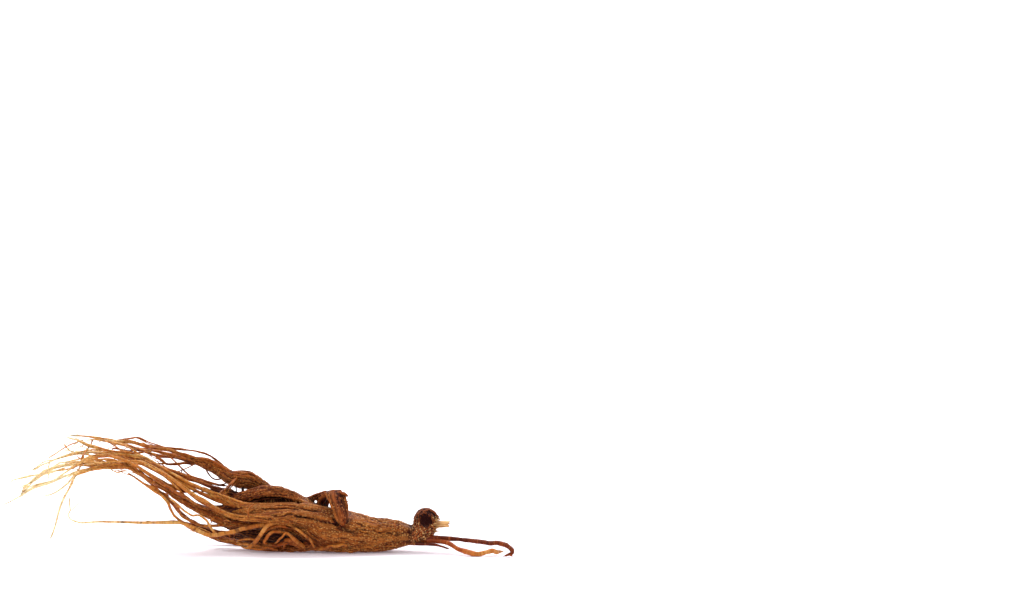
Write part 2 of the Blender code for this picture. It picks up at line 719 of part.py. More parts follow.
def box_object(name, low, high):
    """A closed box between two corners."""
    shape = bmesh.new()
    bmesh.ops.create_cube(shape, size=1)
    middle = (Vector(low) + Vector(high)) / 2
    for vert in shape.verts:
        size = Vector(high) - Vector(low)
        vert.co = (middle + Vector([c * s for c, s in zip(vert.co, size)])) * MM
    mesh = bpy.data.meshes.new(name)
    shape.to_mesh(mesh)
    shape.free()
    return bpy.data.objects.new(name, mesh)


def ball_object(name, centre, radius):
    """A closed ball."""
    shape = bmesh.new()
    bmesh.ops.create_uvsphere(shape, u_segments=SCAR_SIDES, v_segments=SCAR_RINGS, radius=radius)
    for vert in shape.verts:
        vert.co = (Vector(centre) + vert.co) * MM
    mesh = bpy.data.meshes.new(name)
    shape.to_mesh(mesh)
    shape.free()
    return bpy.data.objects.new(name, mesh)


def stem_way():
    """Where the stem's stub starts and ends, and its direction."""
    base, tip = np.array(STUB_BASE), np.array(STUB_TIP)
    return base, tip, (tip - base) / np.linalg.norm(tip - base)


def make_root():
    """Main root, neck, arm, legs and rootlets in one body, with the flat that it rests on."""
    pieces = [leg_object(limb, seed=n) for n, limb in enumerate(NECK + LEGS)]
    pieces += [leg_object(limb, ARM_WIDTHS[limb.name], seed=n) for n, limb in enumerate(ARM)]
    pieces += [rootlet_object(limb, n) for n, limb in enumerate(list(ROOTLETS) + companions())]
    root = joined(body_object(), pieces)
    cut(root, box_object("surface_cutter", BELLY_CUT_LOW, BELLY_CUT_HIGH), "flat belly")
    cut(root, ball_object("scar_cutter", SCAR_CENTRE, SCAR_RADIUS), "old stem scar")
    base, _, towards = stem_way()
    radii = [STUB_BASE_RADIUS + SOCKET_GAP + STUB_RIB] * 2
    bottom = base - towards * SOCKET_GAP
    mouth = base + towards * SOCKET_LENGTH
    cut(root, rod_object("socket_cutter", bottom, mouth, radii, STUB_SIDES), "stem socket")
    root.data.materials.clear()
    root.data.materials.append(principled("root skin", ROOT_COLOUR, ROOT_ROUGHNESS))


def make_stub():
    """The broken stub of the dried stem, with ribs and a pith hole in its end."""
    base, tip, towards = stem_way()
    radii = np.linspace(STUB_BASE_RADIUS, STUB_TIP_RADIUS, STUB_RINGS)
    stub = rod_object("stem_stub", base, tip, radii, STUB_SIDES, STUB_RIB)
    bpy.context.scene.collection.objects.link(stub)
    hole = tip - towards * PITH_DEPTH
    cut(stub, rod_object("pith_cutter", hole, tip + towards, [PITH_RADIUS] * 2, PITH_SIDES), "pith")
    stub.data.materials.append(principled("dry stem", STUB_COLOUR, STUB_ROUGHNESS))


clear_scene()
make_root()
make_stub()
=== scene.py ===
"""Looks of a dried red ginseng root, lying on its belly on a pale floor.

Places are millimetres in the upright plane through the main root, seen a little from above: across runs
from the rootlets (-) to the neck (+), up is the height as seen there, and depth is how far behind (+) or
in front of (-) that plane a point lies. Meshes are made in millimetres and scaled once, at the end.
"""

import logging
import math
import random
from dataclasses import dataclass, field
from enum import Enum
from typing import Callable, Iterable, Sequence

import bmesh
import bpy
import numpy as np
from mathutils import Matrix, Vector, noise


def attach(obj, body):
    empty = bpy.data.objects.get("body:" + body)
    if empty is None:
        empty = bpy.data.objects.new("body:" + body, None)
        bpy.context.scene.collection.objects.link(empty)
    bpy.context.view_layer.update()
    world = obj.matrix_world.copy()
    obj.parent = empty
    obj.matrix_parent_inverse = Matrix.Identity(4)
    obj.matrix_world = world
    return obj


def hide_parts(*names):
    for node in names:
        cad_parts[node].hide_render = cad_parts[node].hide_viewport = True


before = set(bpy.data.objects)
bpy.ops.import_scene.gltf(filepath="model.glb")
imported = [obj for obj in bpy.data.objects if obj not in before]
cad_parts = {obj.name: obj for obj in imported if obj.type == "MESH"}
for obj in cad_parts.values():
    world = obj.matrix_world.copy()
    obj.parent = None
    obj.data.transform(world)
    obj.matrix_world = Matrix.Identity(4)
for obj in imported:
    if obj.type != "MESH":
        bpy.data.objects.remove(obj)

MM = 0.001
Array = np.ndarray
Row = tuple[float, float, float, float]
log = logging.getLogger("ginseng")


class Slot(Enum):
    """The record's material slots."""

    ROOT = "root_skin"
    STEM = "dry_stem"


@dataclass(frozen=True)
class Eye:
    """Where the root is seen from, which turns a seen place and a depth into a true place.

    Attributes:
        rise: How much lower a point must lie, for each millimetre that it lies behind the plane.
        across: Where the eye stands along the root.
        away: How far in front of the plane it stands.
    """

    rise: float = 0.162
    across: float = 70.5
    away: float = 1376.0

    def laid(self, across: float, up: float, depth: float) -> Array:
        """The true place, in millimetres, of a point seen at (across, up) that lies at depth."""
        return np.array([across - depth * (self.across - across) / self.away, depth, up - depth * self.rise])


@dataclass(frozen=True)
class Sway:
    """How dried limbs wander nearer and further, which leaves where they are seen as it was."""

    reach: float = 7.0
    span: float = 26.0
    depth_span: float = 5.0
    grows: tuple[float, float] = (40.0, 90.0)
    nearest: float = -15.4

    def moved(self, across: float, depth: float) -> float:
        """The depth after the wander that neighbouring limbs share."""
        wave = noise.noise(Vector((across / self.span, depth / self.depth_span, 0)))
        return max(self.nearest, depth + self.reach * wave * float(np.interp(-across, self.grows, (0, 1))))


EYE = Eye()
SWAY = Sway()


@dataclass
class Trace:
    """A limb followed from its start to its tip, in even steps.

    Attributes:
        line: The places of its middle, in millimetres.
        radius: Its radius at each place.
        tone: Its colour at each place, from 0 (dark main root) to 1 (pale tip).
        run: The way along it at each place, in millimetres.
    """

    line: Array
    radius: Array
    tone: Array
    run: Array = field(init=False)

    def __post_init__(self) -> None:
        """Measure the way along the line."""
        steps = np.linalg.norm(np.diff(self.line, axis=0), axis=1)
        self.run = np.concatenate([[0.0], np.cumsum(steps)])


@dataclass(frozen=True)
class Limb:
    """A leg, an arm or a rootlet.

    Attributes:
        name: What it is called.
        tone: Its colour at its start and its tip.
        route: Rows of across, up, depth and radius, in millimetres.
    """

    name: str
    tone: tuple[float, float]
    route: tuple[Row, ...]

    def rooted(self, deep: float) -> "Limb":
        """The limb with its start sunk into what it grows from, that much further behind."""
        (x0, z0, y0, r0), (x1, z1, *_) = self.route[:2]
        sunk = (x0 - 0.5 * (x1 - x0), z0 - 0.5 * (z1 - z0), y0 + deep, r0)
        return Limb(self.name, self.tone, (sunk, *self.route))

    def traced(self, step: float, kink: float = 0.0, seed: int = 0) -> Trace:
        """Follow the limb in steps of about that many millimetres.

        Args:
            step: The length of a step.
            kink: How far its middle strays in small bends.
            seed: Which stray it takes.

        Returns:
            The limb's line, radius and tone.
        """
        rows = np.array([(*EYE.laid(x, z, SWAY.moved(x, y)), r) for x, z, y, r in self.route])
        length = np.linalg.norm(np.diff(rows[:, :3], axis=0), axis=1).sum()
        count = max(6, round(length / step))
        line = along_curve(rows, count)
        share = np.linspace(0, 1, count)
        if kink:
            line[:, :3] += kink * strayed(np.linspace(0, length, count), seed) * np.minimum(1, share * 8)[:, None]
        tone = self.tone[0] + (self.tone[1] - self.tone[0]) * share
        return Trace(line[:, :3], line[:, 3], tone)


def along_curve(rows: Array, count: int) -> Array:
    """Evenly shared rows along a Catmull-Rom curve through the given rows.

    Args:
        rows: What the curve goes through, one row a point.
        count: How many rows to return.

    Returns:
        The rows along the curve.
    """
    padded = np.vstack([2 * rows[0] - rows[1], rows, 2 * rows[-1] - rows[-2]])
    at = np.linspace(0, len(rows) - 1, count)
    span = np.minimum(at.astype(int), len(rows) - 2)
    t = (at - span)[:, None]
    a, b, c, d = (padded[span + i] for i in range(4))
    bend = (2 * a - 5 * b + 4 * c - d) * t ** 2
    twist = (3 * b - a - 3 * c + d) * t ** 3
    return (2 * b + (c - a) * t + bend + twist) / 2


def strayed(run: Array, seed: int) -> Array:
    """A smooth stray in all three directions, as a row for each place along the run."""
    long_wave, short_wave = 9.0, 3.1
    rows = []
    for way in run:
        slow = noise.noise_vector(Vector((way / long_wave, seed * 3.7, 0.0)))
        quick = noise.noise_vector(Vector((way / short_wave, seed * 3.7, 5.0)))
        rows.append(slow + 0.35 * quick)
    return np.array(rows)


def carried_frames(line: Array) -> tuple[Array, Array, Array]:
    """The direction and two side directions at each point of a line, carried along without twist."""
    ahead = np.gradient(line, axis=0)
    ahead /= np.linalg.norm(ahead, axis=1)[:, None]
    side = np.cross(ahead[0], (0, 0, 1))
    sides = []
    for direction in ahead:
        side = side - direction * side.dot(direction)
        side = side / np.linalg.norm(side)
        sides.append(side)
    sides = np.array(sides)
    return ahead, sides, np.cross(ahead, sides)


def skin_of(rings: Array, tail: Array, tip: Array) -> tuple[Array, list[tuple[int, ...]]]:
    """The points and faces of a closed skin over rings of points.

    Args:
        rings: The rings, each of the same number of points.
        tail: The point that closes the first ring.
        tip: The point that closes the last ring.

    Returns:
        The points, and the faces as indices.
    """
    count, sides = rings.shape[:2]
    points = np.vstack([rings.reshape(-1, 3), [tail, tip]])
    first, last, end_ring = count * sides, count * sides + 1, (count - 1) * sides
    faces: list[tuple[int, ...]] = []
    for side in range(sides):
        after = (side + 1) % sides
        for ring in range(0, end_ring, sides):
            faces.append((ring + side, ring + after, ring + sides + after, ring + sides + side))
        faces.append((after, side, first))
        faces.append((end_ring + side, end_ring + after, last))
    return points, faces


def tube(line: Array, sides: int, reach: Callable[[int, Array], tuple[Array, Array]],
         turn: float = 0.0) -> tuple[Array, list[tuple[int, ...]]]:
    """A closed tube along a line.

    Args:
        line: Where its middle goes.
        sides: How many sides it has.
        reach: What gives its reach to the side and upward, for a ring and its angles.
        turn: The angle of its first side.

    Returns:
        The points and the faces.
    """
    _, across, upward = carried_frames(line)
    angles = np.linspace(0, 2 * math.pi, sides, endpoint=False) + turn
    rings = []
    for i, centre in enumerate(line):
        wide, high = reach(i, angles)
        to_side = (wide * np.cos(angles))[:, None] * across[i]
        rings.append(centre + to_side + (high * np.sin(angles))[:, None] * upward[i])
    past = 0.25
    tail = line[0] - (line[1] - line[0]) * past
    tip = line[-1] + (line[-1] - line[-2]) * past
    return skin_of(np.array(rings), tail, tip)


def object_from(name: str, points: Array, faces: Sequence[Sequence[int]],
                edges: Sequence[Sequence[int]] = ()) -> bpy.types.Object:
    """A mesh object in the scene, from points in millimetres."""
    mesh = bpy.data.meshes.new(name)
    mesh.from_pydata(np.asarray(points).tolist(), edges, faces)
    obj = bpy.data.objects.new(name, mesh)
    bpy.context.scene.collection.objects.link(obj)
    return obj


def give(obj: bpy.types.Object, name: str, values: Array) -> None:
    """Store numbers, or rows of three, on the object's points under a name."""
    kind, key = ("FLOAT", "value") if np.ndim(values) == 1 else ("FLOAT_VECTOR", "vector")
    layer = obj.data.attributes.get(name) or obj.data.attributes.new(name, kind, "POINT")
    layer.data.foreach_set(key, np.ascontiguousarray(values, np.float32).ravel())


def points_of(obj: bpy.types.Object) -> Array:
    """The object's points, in millimetres."""
    flat = np.empty(len(obj.data.vertices) * 3, np.float32)
    obj.data.vertices.foreach_get("co", flat)
    return flat.reshape(-1, 3).astype(float)


def set_points(obj: bpy.types.Object, points: Array) -> None:
    """Move the object's points to places in millimetres."""
    obj.data.vertices.foreach_set("co", np.ascontiguousarray(points, np.float32).ravel())
    obj.data.update()


def baked(obj: bpy.types.Object) -> bpy.types.Object:
    """The object with its modifiers turned into a plain mesh."""
    bpy.context.view_layer.update()
    graph = bpy.context.evaluated_depsgraph_get()
    mesh = bpy.data.meshes.new_from_object(obj.evaluated_get(graph), depsgraph=graph)
    obj.modifiers.clear()
    old = obj.data
    obj.data = mesh
    bpy.data.meshes.remove(old)
    return obj


class Net:
    """A node tree while it is built, with short ways to add nodes and join them."""

    def __init__(self, tree: bpy.types.NodeTree) -> None:
        """Start on an emptied tree."""
        self.tree = tree
        self.tree.nodes.clear()

    def add(self, kind: str, inputs: dict | None = None, **settings: object) -> bpy.types.Node:
        """Add a node.

        Args:
            kind: Blender's name for it.
            inputs: Values or sockets for its inputs, by name or index.
            settings: Its own properties.

        Returns:
            The node.
        """
        node = self.tree.nodes.new(kind)
        for key, value in settings.items():
            setattr(node, key, value)
        for key, value in (inputs or {}).items():
            socket = node.inputs[key]
            if isinstance(value, bpy.types.NodeSocket):
                self.tree.links.new(value, socket)
            else:
                socket.default_value = value
        return node

    def math(self, operation: str, a: object, b: object = 0.0, clamp: bool = False) -> bpy.types.NodeSocket:
        """The result of one sum on two numbers."""
        return self.add("ShaderNodeMath", {0: a, 1: b}, operation=operation, use_clamp=clamp).outputs[0]

    def vector(self, operation: str, a: object, b: object) -> bpy.types.NodeSocket:
        """The result of one sum on two vectors."""
        return self.add("ShaderNodeVectorMath", {0: a, 1: b}, operation=operation).outputs[0]

    def between(self, value: object, low: float, high: float, start: float = 0.0,
                end: float = 1.0) -> bpy.types.NodeSocket:
        """The value's place between low and high, taken to between start and end, smoothly."""
        node = self.add("ShaderNodeMapRange", {0: value, 1: low, 2: high, 3: start, 4: end})
        node.interpolation_type = "SMOOTHSTEP"
        return node.outputs[0]

    def noise(self, where: object, scale: float, detail: float = 2.0, seed: float = 0.0,
              roughness: float = 0.5) -> bpy.types.NodeSocket:
        """Smooth noise from 0 to 1 at a place."""
        inputs = {"Vector": where, "W": seed, "Scale": scale, "Detail": detail, "Roughness": roughness}
        return self.add("ShaderNodeTexNoise", inputs, noise_dimensions="4D").outputs[0]

    def mixed(self, share: object, a: object, b: object, blend: str = "MIX") -> bpy.types.NodeSocket:
        """Two colours mixed by a share."""
        node = self.add("ShaderNodeMix", data_type="RGBA", blend_type=blend, clamp_factor=True)
        for key, value in ((0, share), (6, a), (7, b)):
            if isinstance(value, bpy.types.NodeSocket):
                self.tree.links.new(value, node.inputs[key])
            else:
                node.inputs[key].default_value = value
        return node.outputs[2]


NECK: tuple[Limb, ...] = (
    Limb("neck", (0.02, -0.02), ((26, 6.8, 0, 4.4), (30, 6.6, 0, 4), (33, 7.8, -0.3, 4.6),
        (34.4, 10.6, -0.3, 4.9), (34.2, 13.4, -0.2, 4.5), (34.2, 15.6, 0, 3.4), (34.4, 17.2, 0, 1.5))),
    Limb("cap", (-0.02, -0.04), ((32.4, 15.6, 0.6, 1.7), (34.6, 16.4, 1.2, 1.9), (37.2, 16, 1.6, 1.9),
        (39.2, 14.6, 1.6, 1.5), (40.2, 13.2, 1.4, 0.9))),
    Limb("collar", (0.3, 0.8), ((34.5, 9, 0, 3.8), (36.6, 9.9, -0.2, 3), (38.6, 10.5, -0.3, 1.9))),
)

LEGS: tuple[Limb, ...] = (
    Limb("lobe", (0.4, 0.44), ((2, 10, -2, 6.4), (-6, 12.2, -3.2, 5.8), (-14, 14.6, -4.2, 5),
        (-21, 15.6, -4.8, 4.4), (-28, 15.8, -5, 4), (-33, 15.9, -4.8, 3.6), (-37, 16, -4.4, 2.7),
        (-41, 16.2, -3.8, 1.5), (-44, 16.4, -3.4, 0.6))),
    Limb("back_leg", (0.26, 0.4), ((-10, 14, 4, 3.6), (-18, 20.4, 7, 3.2), (-24, 22.8, 9, 3.2),
        (-28, 24.4, 10, 3), (-31.5, 27, 10, 3.2), (-36, 29.6, 10, 3.5), (-41, 30.1, 10, 3.7),
        (-45, 30.8, 10, 3), (-49, 33.4, 11, 2.7), (-54, 36, 12, 2.3), (-58, 37.4, 12, 1.6),
        (-62, 38.6, 12, 0.8))),
    Limb("top_leg", (0.18, 0.24), ((-6, 12, 1, 4.4), (-12, 16, 0.8, 4), (-18, 21.4, 0.6, 3),
        (-24, 23.8, 0.2, 3.1), (-30, 24.5, 0.6, 3.2), (-35, 23.5, 1.6, 3.2), (-40, 22.5, 3, 2.5),
        (-44.4, 21.8, 3, 1.2))),
    Limb("upper_leg", (0.4, 0.6), ((-4, 12, -2, 4.4), (-10, 15.6, -3, 4), (-16, 17.5, -4, 2.9),
        (-24, 17.5, -5, 2.5), (-31, 17.9, -5, 2.1), (-37, 18.6, -4, 1.8), (-41, 19.6, -3, 1.5),
        (-45, 21.2, -2, 1.35), (-50, 23.2, -2, 1.1), (-56, 25.8, -2, 0.9))),
    Limb("middle_leg", (0.38, 0.6), ((-2, 9, -3, 5), (-8, 12, -4, 4.8), (-14, 13.8, -6, 4.2),
        (-20, 14, -7, 3.7), (-26, 13.7, -8, 3.1), (-31, 13.8, -8, 2.2), (-36, 13.9, -7, 1.45),
        (-40, 13.9, -6, 1.15), (-45, 15, -5, 0.95), (-50, 17.2, -5, 0.85))),
    Limb("hairy_leg", (0.26, 0.48), ((-12, 10.5, 0, 3.4), (-20, 11, 0, 3), (-28, 11.3, 0, 2.6),
        (-35, 11.6, 0, 2.3), (-41, 12.2, 0, 2.4), (-47, 13.2, -1, 2.5), (-53, 15.6, -1, 2.3),
        (-59, 18.2, -2, 1.9), (-65, 21.4, -3, 1.4), (-70, 24.4, -4, 0.9), (-75, 27.6, -5, 0.5))),
    # core_leg, web_leg and inner_leg are near black and lower_leg dark: painted shade in the recesses behind the front
    # legs.
    Limb("core_leg", (0, 0.34), ((-31, 16.2, 4.2, 4.6), (-37, 16.6, 4.6, 3.8), (-43, 17.2, 5, 2.6),
        (-48, 17.7, 5, 1.5), (-52.5, 18.6, 5, 0.6))),
    Limb("front_leg", (0.46, 0.52), ((-6, 3.4, -4, 3), (-12, 2.3, -4, 2.2), (-18, 1.2, -3, 1.6),
        (-24, 1.3, -1, 1.7), (-30, 1.5, 1, 1.6), (-36, 2, 4, 1.5), (-42, 3.6, 7, 1.3), (-48, 5.2, 9, 1.1),
        (-54, 6.5, 8, 0.85))),
    Limb("web_leg", (-0.02, 0.06), ((-24, 21.5, 5, 3), (-31, 22, 6, 3), (-37, 22.8, 7, 2.2),
        (-42, 23, 7, 1.8), (-46, 24.2, 6, 1.7), (-50, 25.4, 6, 1), (-53, 26, 6, 0.5))),
    Limb("inner_leg", (-0.02, 0.06), ((-16, 7.6, 6, 3.2), (-24, 7.2, 7, 3), (-32, 7.4, 8, 2.6),
        (-39, 8.6, 8, 2.2), (-46, 11, 7, 1.7), (-53, 13.6, 5, 1.1))),
    Limb("lower_leg", (0.12, 0.3), ((-6, 8, 3, 5.2), (-14, 6.0, 7, 4.4), (-22, 5.2, 10, 3.7),
        (-30, 5.1, 13, 3.2), (-38, 5.0, 16, 2.6), (-46, 6.6, 18, 2.0), (-54, 9, 18, 1.5),
        (-61, 12, 17, 1.0))),
)

ARM: tuple[Limb, ...] = (
    Limb("arm", (0.1, 0.04), ((-0.4, 8.4, -6.4, 1), (0.3, 11, -8.2, 1.5), (0.4, 15, -8.4, 1.7),
        (-0.4, 19, -6.8, 1.6), (-1.1, 22.3, -4.8, 1.5), (-1.2, 24.4, -2.4, 1.35))),
    # The fold is near black: painted shade on its hidden back side.
    Limb("fold", (-0.04, -0.06), ((-0.6, 24.2, -2.4, 1.3), (-3.6, 24, 0.6, 1.5), (-5.9, 22.7, 2.6, 1.8),
        (-7, 20.5, 3.6, 2), (-7.6, 16, 3.8, 2))),
    Limb("rim", (0.52, 0.42), ((-0.1, 9.8, -8.8, 0.45), (-1.1, 12.6, -9.9, 0.55), (-2.3, 16.2, -9.4, 0.6),
        (-4, 20, -7, 0.6), (-5.1, 22.6, -4.8, 0.6), (-5.9, 24.2, -2.4, 0.6))),
    Limb("tatter", (0.1, 0.16), ((-0.8, 24.0, -4, 1.0), (1.2, 24.1, -4.6, 0.9), (2.6, 23.4, -5, 0.7),
        (3.6, 22.7, -5.4, 0.35))),
    Limb("flap", (0.1, 0.14), ((-5.4, 24, 0.8, 1.4), (-9, 22.9, 2.2, 1.45), (-11.8, 21.9, 3, 1.35),
        (-15.5, 20.2, 4, 1.2))),
    Limb("foot", (0.16, 0.22), ((1.6, 22, -4.6, 1.1), (2.1, 18.4, -6, 1.5), (1.9, 15.4, -6.8, 1.6),
        (1.4, 12, -6.8, 1.3), (1.5, 8.6, -6.4, 1))),
)

